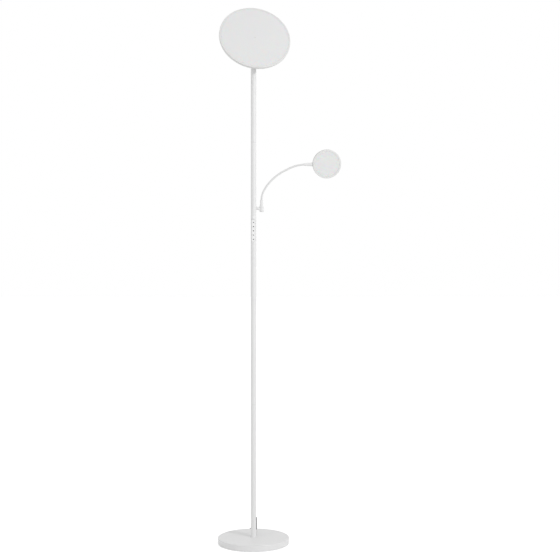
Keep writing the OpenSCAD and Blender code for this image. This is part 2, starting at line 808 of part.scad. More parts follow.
module ferrule_screw() {
  tip = reading_pin_r - groove_depth + slip;
  head = ferrule_d / 2 - 0.9;
  key_flat_r = 0.8;
  key_depth = 1.2;
  color(steel) neck_end_frame() rotate([0, 90, 0]) translate([0, 0, grub_at]) rotate([0, 90, 0])
    difference() {
      cyl(grub_r, tip, head, 24);
      translate([0, 0, head - key_depth]) cylinder(r = key_flat_r, h = key_depth + 1, $fn = 6);
    }
}

// Reading light

module reading_housing() {
  soft = 4;
  in_soft = soft - reading_wall;
  groove_z = grub_at - ferrule_l - reading_gap;
  groove_half = grub_r + slip;
  color(white) reading_frame() difference() {
    union() {
      turned(concat([[0, 0]], arc(reading_r - soft, soft, soft, -90, 0),
        [[reading_r, reading_body_t], [reading_in_r, reading_body_t]],
        arc(reading_in_r - in_soft, reading_wall + in_soft, in_soft, 0, -90), [[0, reading_wall]]), 128);
      round_about(reading_bosses, reading_boss_at, reading_boss_turn)
        cyl(reading_boss_r, reading_wall / 2, reading_board_z, 32);
      translate([-reading_r, 0, reading_t / 2]) rotate([0, 90, 0]) difference() {
        cyl(reading_pin_r, -reading_gap - reading_pin_l, reading_pin_in, 48);
        pipe(reading_pin_r + 1, reading_pin_r - groove_depth, groove_z - groove_half,
          groove_z + groove_half, 48);
      }
    }
    round_about(reading_bosses, reading_boss_at, reading_boss_turn)
      cyl(screw_r - screw_hold, reading_wall, reading_board_z + 1, 24);
  }
}

module reading_ring() {
  soft = 0.8;
  crown = 0.4;
  bevel = 0.6;
  lens_r = ring_in_r + lens_grip;
  lens_lip_z = reading_lens_top - reading_lens_lip + 0.1;
  skirt_z = reading_lens_low - lens_grip;
  color(white) reading_frame() turned(concat([[reading_r, reading_body_t]],
    arc(reading_r - soft, reading_t - crown - soft, soft, 0, 60, 4),
    [[reading_r - 0.45 * reading_ring_w, reading_t], [ring_in_r + bevel, reading_t],
      [ring_in_r, reading_t - bevel / 2], [ring_in_r, lens_lip_z], [lens_r, lens_lip_z], [lens_r, skirt_z],
      [ring_skirt_r, skirt_z], [ring_skirt_r, reading_body_t]]), 128);
}

module reading_lens() {
  face_r = ring_in_r - 0.1;
  edge_r = ring_in_r + lens_grip - 0.1;
  lip_z = reading_lens_top - reading_lens_lip;
  color(opal) reading_frame() turned([[0, reading_lens_low], [edge_r, reading_lens_low], [edge_r, lip_z],
    [face_r, lip_z], [face_r, reading_lens_top], [0, reading_lens_top]], 128);
}

module reading_board() {
  led_w = 3;
  led_h = 0.8;
  led_count = 12;
  led_in = 3.4;
  color("#e9e9e2") reading_frame() {
    difference() {
      cyl(reading_board_r, reading_board_z, reading_board_top, 96);
      round_about(reading_bosses, reading_boss_at, reading_boss_turn)
        cyl(screw_r + run_fit, 0, reading_t, 24);
    }
    round_about(led_count, reading_board_r - led_in)
      translate([-led_w / 2, -led_w / 2, reading_board_top]) cube([led_w, led_w, led_h]);
  }
}

module reading_screws() {
  color(steel) reading_frame() round_about(reading_bosses, reading_boss_at, reading_boss_turn) {
    cyl(screw_head_r, reading_board_top, reading_board_top + screw_head_t, 24);
    cyl(thread_r, reading_wall + 1, reading_board_top, 24);
  }
}

// Yoke on the pole's top

module yoke() {
  flange_top = yoke_flange_z + yoke_flange_t;
  low = flange_top - tilt_z - 1;
  color(white) {
    cyl(stem_r, stem_low_z, yoke_flange_z + 1);
    cyl(tube_r, yoke_flange_z, flange_top);
    tilt_frame() intersection() {
      for (s = [0, 180]) rotate([0, 0, s]) difference() {
        union() {
          translate([cheek_in, -lug_r, low]) cube([cheek_t, 2 * lug_r, -low]);
          rotate([0, 90, 0]) cyl(lug_r, cheek_in, cheek_out, 48);
        }
        rotate([0, 90, 0]) cyl(tilt_pin_r + run_fit, 0, tube_r, 32);
      }
      cyl(tube_r - seam_chamfer, low - 1, lug_r + 1);
    }
  }
}

module pan_clip() {
  top = bush_low_z - play;
  color(steel) pipe(pan_clip_r, stem_r + run_fit, top - pan_clip_t, top, 48);
}

module tilt_pin() {
  color(steel) tilt_frame() rotate([0, 90, 0]) {
    cyl(tilt_pin_r, -cheek_out, cheek_out + tilt_thread_l, 32);
    turned([[0, -cheek_out - tilt_head_t], [tilt_head_r - 1, -cheek_out - tilt_head_t],
      [tilt_head_r, -cheek_out - tilt_head_t + 1], [tilt_head_r, -cheek_out], [0, -cheek_out]], 32);
  }
}

module tilt_nut() {
  body_z = cheek_out + tilt_nut_t;
  top_z = body_z + tilt_cap_t;
  color(steel) tilt_frame() rotate([0, 90, 0]) difference() {
    turned([[0, cheek_out], [tilt_head_r, cheek_out], [tilt_head_r, body_z],
      [tilt_head_r - 0.3 * tilt_cap_t, body_z + 0.6 * tilt_cap_t], [tilt_head_r - tilt_cap_t, top_z],
      [0, top_z]], 32);
    cyl(tilt_pin_r + run_fit, cheek_out - 1, cheek_out + tilt_thread_l + run_fit, 32);
  }
}

module tilt_washers() {
  low = lug_half + washer_gap;
  color("#2d2e30") tilt_frame() for (s = [0, 180]) rotate([0, 90, s])
    pipe(lug_r - 0.6, tilt_pin_r + run_fit, low, low + tilt_washer_t, 48);
}

// Light disc

module disc_hub() {
  soft = 3;
  in_soft = soft - hub_wall;
  in_r = hub_r - hub_wall;
  color(white) disc_frame() difference() {
    union() {
      turned(concat([[0, -hub_h]], arc(hub_r - soft, soft - hub_h, soft, -90, 0), [[hub_r, 0], [in_r, 0]],
        arc(in_r - in_soft, hub_floor_z + in_soft, in_soft, 0, -90), [[0, hub_floor_z]]), 96);
      translate([-lug_half, -lug_r, -tilt_back]) cube([lug_t, 2 * lug_r, tilt_back - hub_h + hub_wall / 2]);
      translate([0, 0, -tilt_back]) rotate([0, 90, 0]) cyl(lug_r, -lug_half, lug_half, 48);
      round_about(hub_screws, hub_screw_at, hub_screw_turn)
        cyl(hub_boss_r, hub_floor_z - hub_wall / 2, 0, 32);
    }
    translate([0, 0, -tilt_back]) rotate([0, 90, 0]) cyl(tilt_pin_r + run_fit, -lug_t, lug_t, 32);
    round_about(hub_screws, hub_screw_at, hub_screw_turn) cyl(screw_r - screw_hold, hub_floor_z, 1, 24);
  }
}

module disc_driver() {
  board_r = 17;
  board_h = 1.2;
  block_w = 6;
  block_l = 12;
  block_h = 3;
  color("#2f6b45") disc_frame() translate([0, 0, hub_floor_z]) {
    cyl(board_r, 0, board_h, 48);
    for (x = [-1.5, 0.5]) translate([x * block_w, -block_l / 2, board_h]) cube([block_w, block_l, block_h]);
  }
}

module disc_back() {
  color(white) disc_frame() difference() {
    cyl(rim_in_r - 0.1, 0, back_t, 128);
    cyl(centre_pin_r + run_fit, -1, back_t + 1, 24);
    round_about(hub_screws, hub_screw_at, hub_screw_turn) cyl(screw_r + run_fit, -1, back_t + 1, 24);
    round_about(back_screws, back_screw_at, back_screw_turn) cyl(screw_r + run_fit, -1, back_t + 1, 24);
  }
}

module disc_rim() {
  soft = 1.2;
  bevel = 0.3;
  color(white) disc_frame() difference() {
    turned(concat([[rim_in_r, 0]], arc(disc_r - soft, soft, soft, -90, 0, 4),
      arc(disc_r - soft, disc_t - soft, soft, 0, 90, 4),
      [[lip_in_r + bevel, disc_t], [lip_in_r, disc_t - bevel], [lip_in_r, lip_z], [rim_in_r, lip_z],
        [rim_in_r, ledge_top], [ledge_in_r, ledge_top], [ledge_in_r, back_t], [rim_in_r, back_t]]), 160);
    round_about(back_screws, back_screw_at, back_screw_turn)
      cyl(screw_r - screw_hold, back_t - 0.5, ledge_top + 0.5, 24);
  }
}

module disc_reflector() {
  color("#fafafa") disc_frame() pipe(stack_r, centre_pin_r + run_fit, reflector_z, guide_z, 128);
}

module disc_guide() {
  color("#dfe6ea") disc_frame() pipe(stack_r, centre_pin_r + run_fit, guide_z, guide_z + guide_t, 128);
}

module disc_led_ring() {
  color("#e8d9a0") disc_frame() pipe(led_out_r, led_in_r, ledge_top, guide_z + guide_t, 128);
}

module disc_diffuser() {
  edge_r = rim_in_r - slip;
  step_r = lip_in_r - slip;
  step_z = lip_z - 0.1;
  color(opal) disc_frame() difference() {
    turned([[0, flange_z], [edge_r, flange_z], [edge_r, step_z], [step_r, step_z], [step_r, face_z],
      [0, face_z]], 160);
    cyl(centre_pin_r + run_fit, 0, disc_t + 1, 24);
  }
}

module disc_pin() {
  color("#b9bab9") disc_frame() {
    cyl(centre_pin_r, -1, face_z, 24);
    cyl(centre_pin_r + 0.5, face_z, face_z + centre_pin_head_t, 24);
    cyl(centre_pin_r + 0.8, -centre_pin_foot_t, 0, 24);
  }
}

module disc_screws() {
  hub_head_top = back_t + screw_head_t;
  color(steel) disc_frame() {
    round_about(hub_screws, hub_screw_at, hub_screw_turn) {
      cyl(thread_r, hub_floor_z + 0.5, back_t, 24);
      cyl(screw_head_r, back_t, hub_head_top, 24);
    }
    round_about(back_screws, back_screw_at, back_screw_turn) {
      cyl(thread_r, 0, ledge_top - slip, 24);
      cyl(back_head_r, -back_head_t, 0, 24);
    }
  }
}

// Supply lead

// The outlet in the pole: local z points out of the pole's back
module outlet_frame() {
  translate([0, 0, outlet_z]) rotate([-90, 0, -outlet_turn]) children();
}

// Cuts the pole's tube out of what it is given, apart from the hole that the lead passes
module clear_of_pole() {
  difference() {
    union() children();
    difference() {
      cyl(tube_r, lead_route[0][2], outlet_z + boot_head_d);
      outlet_frame() cyl(boot_neck_r, 0, tube_r + 1, 32);
    }
  }
}

module cord_boot() {
  head_at = tube_r + boot_out;
  head_r = boot_head_d / 2;
  head = [head_at * sin(outlet_turn), head_at * cos(outlet_turn), outlet_z];
  run = lead_route[0] - head;
  tail_l = norm(run);
  color(black) clear_of_pole() {
    outlet_frame() {
      cyl(boot_neck_r, wire_end_r, head_at, 32);
      cyl(head_r, tube_r - 2, head_at + head_r - boot_dome, 48);
    }
    translate(head) rotate([0, acos(run[2] / tail_l), atan2(run[1], run[0])])
      translate([0, 0, head_r / 2])
        cylinder(r1 = boot_root_r, r2 = boot_end_r, h = tail_l - head_r / 2, $fn = 32);
  }
}

module supply_lead() {
  color(black) swept_tube(lead_route, lead_r, lead_sides, [1, 1, 1]);
}

module lead_hank() {
  color(black) swept_tube(hank_path, lead_r, hank_sides, [0, 0, 1]);
}

module hank_tie() {
  ring_step = 6 * hank_run / hank_rings;
  drawn_in = hank_waist - (hank_waist - waist(ring_step)) * tie_w / 2 / ring_step;
  near_y = hank_y - hank_r(hank_total - step_half) + drawn_in - lead_r - tie_gap;
  far_y = hank_y + hank_r(5 / 12) - drawn_in + lead_r + tie_gap;
  wide = far_y - near_y;
  tall = hank_high_z + lead_r + tie_gap - tie_t;
  color("#26272a") translate([hank_x - tie_w / 2, (near_y + far_y) / 2, tie_t + tall / 2])
    rotate([90, 0, 90]) linear_extrude(tie_w)
    difference() {
      rounded_plate(wide + 2 * tie_t, tall + 2 * tie_t, tie_t + tie_corner_r);
      rounded_plate(wide, tall, tie_corner_r);
    }
}

module lead_connector() {
  relief_l = 10;
  body_l = 14;
  barrel_l = 9.5;
  body_r = 4.5;
  lie = body_r - hank_low_z;
  color(black) translate(connector_at) {
    hull() {
      rotate([0, -90, 0]) cylinder(r = lead_r + 0.3, h = 0.5, $fn = 24);
      translate([-relief_l, 0, lie]) rotate([0, -90, 0]) cylinder(r = 3, h = 0.5, $fn = 24);
    }
    translate([-relief_l, 0, lie]) rotate([0, -90, 0]) cylinder(r = body_r, h = body_l, $fn = 48);
  }
  color(steel) translate(connector_at + [-relief_l - body_l, 0, lie]) rotate([0, -90, 0]) difference() {
    cylinder(r = 2.75, h = barrel_l, $fn = 48);
    translate([0, 0, 1]) cylinder(r = 1.05, h = barrel_l, $fn = 32);
  }
}

base_pad();
base_weight();
base_cover();
anchor_bolt();
anchor_washer();
foot_collar();
foot_plug();
lower_tube();
middle_tube();
upper_tube();
top_tube();
tube_couplers();
middle_coupler();
top_bush();
pole_wire();
control_bezel();
control_board();
tact_switches();
button_1();
button_2();
button_3();
button_4();
button_5();
arm_bracket();
arm_sleeve();
swivel_clip();
neck_link_1();
neck_link_2();
neck_link_3();
neck_link_4();
neck_link_5();
neck_link_6();
neck_ferrule();
ferrule_screw();
reading_housing();
reading_ring();
reading_lens();
reading_board();
reading_screws();
yoke();
pan_clip();
tilt_pin();
tilt_nut();
tilt_washers();
disc_hub();
disc_driver();
disc_back();
disc_rim();
disc_reflector();
disc_guide();
disc_led_ring();
disc_diffuser();
disc_pin();
disc_screws();
cord_boot();
supply_lead();
lead_hank();
hank_tie();
lead_connector();
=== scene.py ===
"""Floor lamp with a reading arm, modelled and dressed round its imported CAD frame.

Lengths are metres, and sizes that a maker would give in millimetres are written as a number times
MM. Z is up, the front faces -Y, and the origin is the centre of the base's underside.
"""

import logging
import math
from dataclasses import dataclass
from enum import Enum
from typing import Any, Callable, Iterable, Sequence

import bpy
from mathutils import Matrix, Vector

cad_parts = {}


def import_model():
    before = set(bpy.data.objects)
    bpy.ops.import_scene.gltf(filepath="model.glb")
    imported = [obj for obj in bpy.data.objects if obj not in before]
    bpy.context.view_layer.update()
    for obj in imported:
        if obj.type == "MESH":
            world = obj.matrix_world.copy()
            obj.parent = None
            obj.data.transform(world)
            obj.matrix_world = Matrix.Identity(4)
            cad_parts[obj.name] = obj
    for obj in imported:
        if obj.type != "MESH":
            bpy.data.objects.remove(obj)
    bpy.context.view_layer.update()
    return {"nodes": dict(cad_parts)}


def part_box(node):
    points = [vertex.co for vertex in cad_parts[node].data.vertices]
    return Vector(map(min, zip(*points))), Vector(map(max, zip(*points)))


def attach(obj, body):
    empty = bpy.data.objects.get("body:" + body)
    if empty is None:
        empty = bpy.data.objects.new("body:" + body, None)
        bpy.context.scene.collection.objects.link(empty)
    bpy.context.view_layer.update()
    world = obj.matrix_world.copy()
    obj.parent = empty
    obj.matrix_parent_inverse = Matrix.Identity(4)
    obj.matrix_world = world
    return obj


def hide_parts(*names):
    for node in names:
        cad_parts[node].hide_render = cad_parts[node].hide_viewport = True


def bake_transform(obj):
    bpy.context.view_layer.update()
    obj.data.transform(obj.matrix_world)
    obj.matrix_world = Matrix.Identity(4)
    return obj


log = logging.getLogger("floor_lamp")

MM = 0.001
# Vertices nearer to each other than this are merged
MERGE = 0.002 * MM
# Gap all round between two parts that turn or sit in one another
FIT = 0.05 * MM
# A face whose normal's z is above this belongs to the top
TOP_FACING = 0.9
# Width of a noise texture's cells at scale 1
NOISE_CELL = 0.7
# Distance between a wave texture's bands at scale 1, which is 2 pi / 20
WAVE_BAND = 0.314
Outline = Sequence[tuple[float, float]]
Points = list[tuple[float, float]]
Piece = bpy.types.Object


# Materials


def linear(hex_colour: str) -> tuple[float, float, float, float]:
    """Turn an sRGB hex colour into the linear colour that shaders take.

    Args:
        hex_colour: Six hex digits, as "e6e6e4".

    Returns:
        Linear red, green and blue, and an alpha of 1.
    """
    parts = [int(hex_colour[i : i + 2], 16) / 255 for i in (0, 2, 4)]
    red, green, blue = (c / 12.92 if c <= 0.04045 else ((c + 0.055) / 1.055) ** 2.4 for c in parts)
    return red, green, blue, 1.0


def add_node(
    tree: bpy.types.NodeTree,
    kind: str,
    settings: dict[Any, Any] | None = None,
    links: dict[Any, bpy.types.NodeSocket] | None = None,
) -> bpy.types.Node:
    """Add a node with its settings and its incoming links.

    Args:
        tree: The node tree that gets the node.
        kind: The node's type name.
        settings: Values by property name, or by input name or number.
        links: Sockets by the input that each feeds.

    Returns:
        The new node.
    """
    node = tree.nodes.new(kind)
    for key, value in (settings or {}).items():
        if isinstance(key, str) and hasattr(node, key):
            setattr(node, key, value)
        else:
            node.inputs[key].default_value = value
    for key, socket in (links or {}).items():
        tree.links.new(socket, node.inputs[key])
    return node


def maximum(
    tree: bpy.types.NodeTree, first: bpy.types.NodeSocket, second: bpy.types.NodeSocket
) -> bpy.types.NodeSocket:
    """Add a node that gives the higher of two values, and return its output socket."""
    links = {0: first, 1: second}
    return add_node(tree, "ShaderNodeMath", {"operation": "MAXIMUM"}, links).outputs["Value"]


def blank_tree(owner: bpy.types.Material | bpy.types.World) -> bpy.types.NodeTree:
    """Give the node tree of a material or a world, with no nodes left in it."""
    owner.use_nodes = True
    owner.node_tree.nodes.clear()
    return owner.node_tree


class Relief(Enum):
    """The kinds of fine relief that a surface can have."""

    ORANGE_PEEL = "soft waves of a powder coat"
    SPARK = "fine grit of a spark-eroded mould"
    CAST = "coarse pits of sand casting"
    FOAM = "open cells of cut foam"
    DRAWN = "lines along z of a drawn or ground metal"
    WEAVE = "crossed threads"


@dataclass(frozen=True)
class Finish:
    """A procedural surface finish.

    Attributes:
        name: The material's plain name.
        colour: Main sRGB hex colour.
        shade: The sRGB hex colour that the surface drifts to in patches.
        relief: The kind of fine relief.
        grain: Width of one grain, wave or thread of the relief.
        depth: Height of the relief.
        roughness: Lowest and highest roughness.
        metallic: 1 for bare metal, 0 for the rest.
        ior: Index of refraction; metals keep 1.5.
        coat: Weight of a clear coat.
        translucent: Share of light that scatters below the surface.
        patch: Width of the patches that the colour drifts over.
    """

    name: str
    colour: str
    shade: str
    relief: Relief
    grain: float
    depth: float
    roughness: tuple[float, float]
    metallic: float = 0.0
    ior: float = 1.5
    coat: float = 0.0
    translucent: float = 0.0
    patch: float = 45 * MM

    def _noise(self, tree: bpy.types.NodeTree, place: bpy.types.NodeSocket, width: float) -> Any:
        """Add a noise whose cells are about the given width, and return its output socket."""
        settings = {"Scale": NOISE_CELL / width, "Detail": 3.0, "Roughness": 0.55}
        return add_node(tree, "ShaderNodeTexNoise", settings, {"Vector": place}).outputs["Fac"]

    def _height(self, tree: bpy.types.NodeTree, place: bpy.types.NodeSocket) -> Any:
        """Add the nodes of this finish's relief.

        Args:
            tree: The material's node tree.
            place: The socket with the object coordinates.

        Returns:
            The socket that gives the relief's height, from 0 to 1.
        """
        links = {"Vector": place}
        if self.relief in (Relief.CAST, Relief.FOAM):
            settings = {"feature": "SMOOTH_F1", "Scale": 1 / self.grain, "Smoothness": 0.6}
            return add_node(tree, "ShaderNodeTexVoronoi", settings, links).outputs["Distance"]
        if self.relief is Relief.DRAWN:
            stretch = add_node(tree, "ShaderNodeMapping", {"Scale": (1.0, 1.0, 0.04)}, links)
            return self._noise(tree, stretch.outputs["Vector"], self.grain)
        if self.relief is Relief.WEAVE:
            settings = {"Scale": WAVE_BAND / self.grain, "Distortion": 0.6, "Detail": 1.0}
            warp, weft = (
                add_node(tree, "ShaderNodeTexWave", {"bands_direction": axis, **settings}, links)
                for axis in "XY"
            )
            return maximum(tree, warp.outputs["Fac"], weft.outputs["Fac"])
        return self._noise(tree, place, self.grain)

    def build(self) -> bpy.types.Material:
        """Make the material's nodes.

        Returns:
            The new material.
        """
        material = bpy.data.materials.new(self.name)
        tree = blank_tree(material)
        place = add_node(tree, "ShaderNodeTexCoord").outputs["Object"]
        patches = self._noise(tree, place, self.patch)
        height = self._height(tree, place)
        # A colour mix has its colours at inputs 6 and 7 and its result at output 2
        colours = {"data_type": "RGBA", 6: linear(self.colour), 7: linear(self.shade)}
        colour = add_node(tree, "ShaderNodeMix", colours, {0: patches})
        ends = {"To Min": self.roughness[0], "To Max": self.roughness[1]}
        rough = add_node(tree, "ShaderNodeMapRange", ends, {"Value": height})
        size = {"Strength": 1.0, "Distance": self.depth}
        bump = add_node(tree, "ShaderNodeBump", size, {"Height": height})
        settings = {
            "Metallic": self.metallic,
            "IOR": self.ior,
            "Coat Weight": self.coat,
            "Subsurface Weight": self.translucent,
            "Subsurface Scale": 3 * MM,
        }
        links = {
            "Base Color": colour.outputs[2],
            "Roughness": rough.outputs["Result"],
            "Normal": bump.outputs["Normal"],
        }
        shader = add_node(tree, "ShaderNodeBsdfPrincipled", settings, links)
        add_node(tree, "ShaderNodeOutputMaterial", {}, {"Surface": shader.outputs["BSDF"]})
        return material


class FinishKind(Enum):
    """Every finish on the lamp."""

    # Powder coat on steel: soft satin white whose fine waves break up reflections
    WHITE_POWDER_COAT = Finish(
        "white powder coat on steel", "eeeeee", "ebebeb", Relief.ORANGE_PEEL,
        1.1 * MM, 0.012 * MM, (0.42, 0.54),
    )
    # Moulded ABS: slightly warmer white with an even, dull grit
    WHITE_ABS = Finish(
        "white moulded ABS", "e8e8e7", "e5e5e4", Relief.SPARK, 0.35 * MM, 0.008 * MM, (0.42, 0.56),
    )
    # Opal acrylic sheet: light goes a little way in, so its face looks soft and even
    OPAL_ACRYLIC = Finish(
        "opal acrylic", "eaeaea", "e8e8e8", Relief.SPARK, 0.5 * MM, 0.004 * MM, (0.36, 0.44),
        ior=1.49, translucent=0.15,
    )
    # Polished polycarbonate: the lamp's smoothest white. Its colour is lightened past the other
    # whites as a painted highlight, standing in for the sheen of the strip's flat glossy front
    GLOSSY_POLYCARBONATE = Finish(
        "glossy white polycarbonate", "fafafa", "f8f8f8", Relief.ORANGE_PEEL,
        2.4 * MM, 0.004 * MM, (0.16, 0.24), ior=1.58, coat=0.6,
    )
    # Extruded PVC sleeve: matt, a little dull where hands bend it
    NECK_SLEEVE_PVC = Finish(
        "white PVC sleeve", "e6e6e6", "e1e1e1", Relief.SPARK, 0.6 * MM, 0.015 * MM, (0.48, 0.62),
        ior=1.53, patch=22 * MM,
    )
    # Moulded black ABS of the keys, with the fine grit of its mould
    BLACK_KEY_ABS = Finish(
        "black moulded ABS", "2b2c2e", "232426", Relief.SPARK, 0.25 * MM, 0.01 * MM, (0.4, 0.55),
        patch=2 * MM,
    )
    # Soft black PVC of a lead: smooth but never shiny
    BLACK_PVC = Finish(
        "black flexible PVC", "18191b", "222326", Relief.SPARK, 0.7 * MM, 0.02 * MM, (0.42, 0.6),
        ior=1.53, patch=15 * MM,
    )
    # Woven nylon hook-and-loop tape: a dull cloth of half-millimetre threads
    WOVEN_NYLON = Finish(
        "black woven nylon tape", "202124", "2c2d31", Relief.WEAVE, 0.5 * MM, 0.08 * MM, (0.7, 0.9),
        ior=1.53, patch=6 * MM,
    )
    # Bright zinc plate: cool grey metal with fine turning marks
    ZINC_PLATE = Finish(
        "bright zinc plate", "b6b9bc", "a6a9ad", Relief.DRAWN, 0.4 * MM, 0.006 * MM, (0.24, 0.38),
        metallic=1.0, patch=9 * MM,
    )
    # Nickel plate on brass: the connector's warm bright barrel
    NICKEL_PLATE = Finish(
        "nickel plate", "c4c0b8", "b5b1a8", Relief.DRAWN, 0.3 * MM, 0.003 * MM, (0.16, 0.28),
        metallic=1.0, patch=5 * MM,
    )
    # Painted aluminium sheet: a little greyer and smoother than the coat on steel
    PAINTED_ALUMINIUM = Finish(
        "white coated aluminium sheet", "e6e6e6", "e3e3e3", Relief.ORANGE_PEEL,
        1.4 * MM, 0.01 * MM, (0.36, 0.48),
    )
    # Sand-cast iron under a thin dark primer: pitted and uneven
    CAST_IRON = Finish(
        "primed cast iron", "45474a", "33353a", Relief.CAST, 1.6 * MM, 0.15 * MM, (0.62, 0.85),
        patch=18 * MM,
    )
    # Cut EVA foam sheet: a dull grey skin with open cells
    EVA_FOAM = Finish(
        "grey EVA foam", "3c3e41", "34363a", Relief.FOAM, 0.8 * MM, 0.12 * MM, (0.85, 0.95),
        patch=12 * MM,
    )
    # Glass-fibre board under green solder resist: a faint cloth under a gloss
    GREEN_BOARD = Finish(
        "green solder resist", "2a6844", "235a3a", Relief.WEAVE, 0.6 * MM, 0.01 * MM, (0.25, 0.4),
        patch=4 * MM,
    )
    # Glass-fibre board under white solder resist, which throws light forwards
    WHITE_BOARD = Finish(
        "white solder resist", "ecece6", "e4e4dc", Relief.WEAVE, 0.6 * MM, 0.01 * MM, (0.3, 0.45),
        patch=8 * MM,
    )
    # Phenolic bodies of the tactile switches
    SWITCH_PHENOLIC = Finish(
        "black switch moulding", "2e2f32", "26272a", Relief.SPARK, 0.2 * MM, 0.01 * MM, (0.5, 0.65),
        patch=2 * MM,
    )
    # Natural nylon: milky, waxy and slightly see-through
    NATURAL_NYLON = Finish(
        "natural nylon", "d6d4ca", "cdcbc0", Relief.SPARK, 0.4 * MM, 0.01 * MM, (0.4, 0.52),
        ior=1.53, translucent=0.2, patch=10 * MM,
    )
    # Fibre-filled friction washers
    FRICTION_FIBRE = Finish(
        "black friction fibre", "2a2b2d", "38393c", Relief.FOAM, 0.3 * MM, 0.03 * MM, (0.75, 0.9),
        patch=3 * MM,
    )
    # Foamed PET reflector sheet: a chalky white
    REFLECTOR_PET = Finish(
        "white reflector sheet", "f2f2f0", "eeeeeb", Relief.SPARK, 0.3 * MM, 0.004 * MM, (0.7, 0.8),
    )
    # Acrylic light guide: clear and glossy, with faint cells in place of its printed dots
    GUIDE_ACRYLIC = Finish(
        "clear guide acrylic", "dfe7ea", "d6e0e4", Relief.FOAM, 1.8 * MM, 0.01 * MM, (0.06, 0.16),
        ior=1.49, translucent=0.3,
    )
    # Silicone with phosphor over the light-emitting diodes
    PHOSPHOR_STRIP = Finish(
        "yellow phosphor strip", "e6c86a", "f0ead2", Relief.FOAM, 3.2 * MM, 0.1 * MM, (0.35, 0.5),
        translucent=0.2, patch=4 * MM,
    )


class Palette:
    """Builds each finish once and puts it on pieces."""

    def __init__(self) -> None:
        """Start with no material built."""
        self._built: dict[FinishKind, bpy.types.Material] = {}

    def _material(self, kind: FinishKind) -> bpy.types.Material:
        """Give a finish's material, which is built when it is first asked for."""
        if kind not in self._built:
            self._built[kind] = kind.value.build()
        return self._built[kind]

    def dress(self, piece: Piece, kind: FinishKind) -> None:
        """Put a finish on a mesh or curve in place of what it has."""
        piece.data.materials.clear()
        piece.data.materials.append(self._material(kind))

    def dress_node(self, node: Piece, kind: FinishKind) -> None:
        """Put a finish on a carried-over CAD node, whose mesh stays as it is.

        Args:
            node: The CAD node's object.
            kind: The finish.
        """
        material = self._material(kind)
        if not node.material_slots:
            node.data.materials.append(material)
        for slot in node.material_slots:
            slot.material = material


# Modelling by hand


def deselect_all() -> None:
    """Leave edit mode and deselect every object."""
    if bpy.context.object is not None and bpy.context.object.mode != "OBJECT":
        bpy.ops.object.mode_set(mode="OBJECT")
    bpy.ops.object.select_all(action="DESELECT")


def pick(piece: Piece) -> None:
    """Make a piece the only selected object, and the active one."""
    deselect_all()
    piece.select_set(True)
    bpy.context.view_layer.objects.active = piece


def in_edit_mode(piece: Piece, work: Callable[[], None]) -> None:
    """Run operators on a piece in edit mode, with all of it selected at the start.

    Args:
        piece: The piece to shape.
        work: The function that calls the operators.
    """
    pick(piece)
    bpy.ops.object.mode_set(mode="EDIT")
    bpy.ops.mesh.select_mode(type="VERT")
    bpy.ops.mesh.select_all(action="SELECT")
    work()
    bpy.ops.object.mode_set(mode="OBJECT")


def select_faces(piece: Piece, wanted: Callable[[bpy.types.MeshPolygon], bool]) -> None:
    """Select the faces that a test picks and nothing else. The piece is left in edit mode.

    Args:
        piece: The piece, in object mode.
        wanted: Says of a face whether it is wanted.
    """
    pick(piece)
    bpy.ops.object.mode_set(mode="EDIT")
    bpy.ops.mesh.select_mode(type="FACE")
    bpy.ops.mesh.select_all(action="DESELECT")
    bpy.ops.object.mode_set(mode="OBJECT")
    for face in piece.data.polygons:
        face.select = wanted(face)
    bpy.ops.object.mode_set(mode="EDIT")


def smooth(piece: Piece, angle: float = 32.0) -> Piece:
    """Shade a piece smooth, with its flat faces kept flat.

    Args:
        piece: The piece.
        angle: Edges that turn by more than this, in degrees, stay sharp.

    Returns:
        The piece.
    """
    pick(piece)
    bpy.ops.object.shade_smooth_by_angle(angle=math.radians(angle))
    step = piece.modifiers.new("even_normals", "WEIGHTED_NORMAL")
    step.keep_sharp = True
    bpy.ops.object.modifier_apply(modifier=step.name)
    return piece


def arc(
    centre: tuple[float, float], radius: float, start: float, end: float, steps: int = 6
) -> Points:
    """Give the points of a circular arc between two angles in degrees, ends included."""
    angles = [math.radians(start + (end - start) * i / steps) for i in range(steps + 1)]
    return [(centre[0] + radius * math.cos(a), centre[1] + radius * math.sin(a)) for a in angles]


def hollow(radius: float, depth: float, low: float, high: float, slope: float) -> Points:
    """Give the outline of a hollow round a turned piece, with a sloping step at each end."""
    floor = radius - depth
    return [(radius, low), (floor, low + slope), (floor, high - slope), (radius, high)]


def groove(at: float, half_width: float, depth: float) -> Points:
    """Give the outline of a groove round a flat face at height 0, half as wide at its floor."""
    floor = half_width / 2
    return [(at - half_width, 0), (at - floor, depth), (at + floor, depth), (at + half_width, 0)]


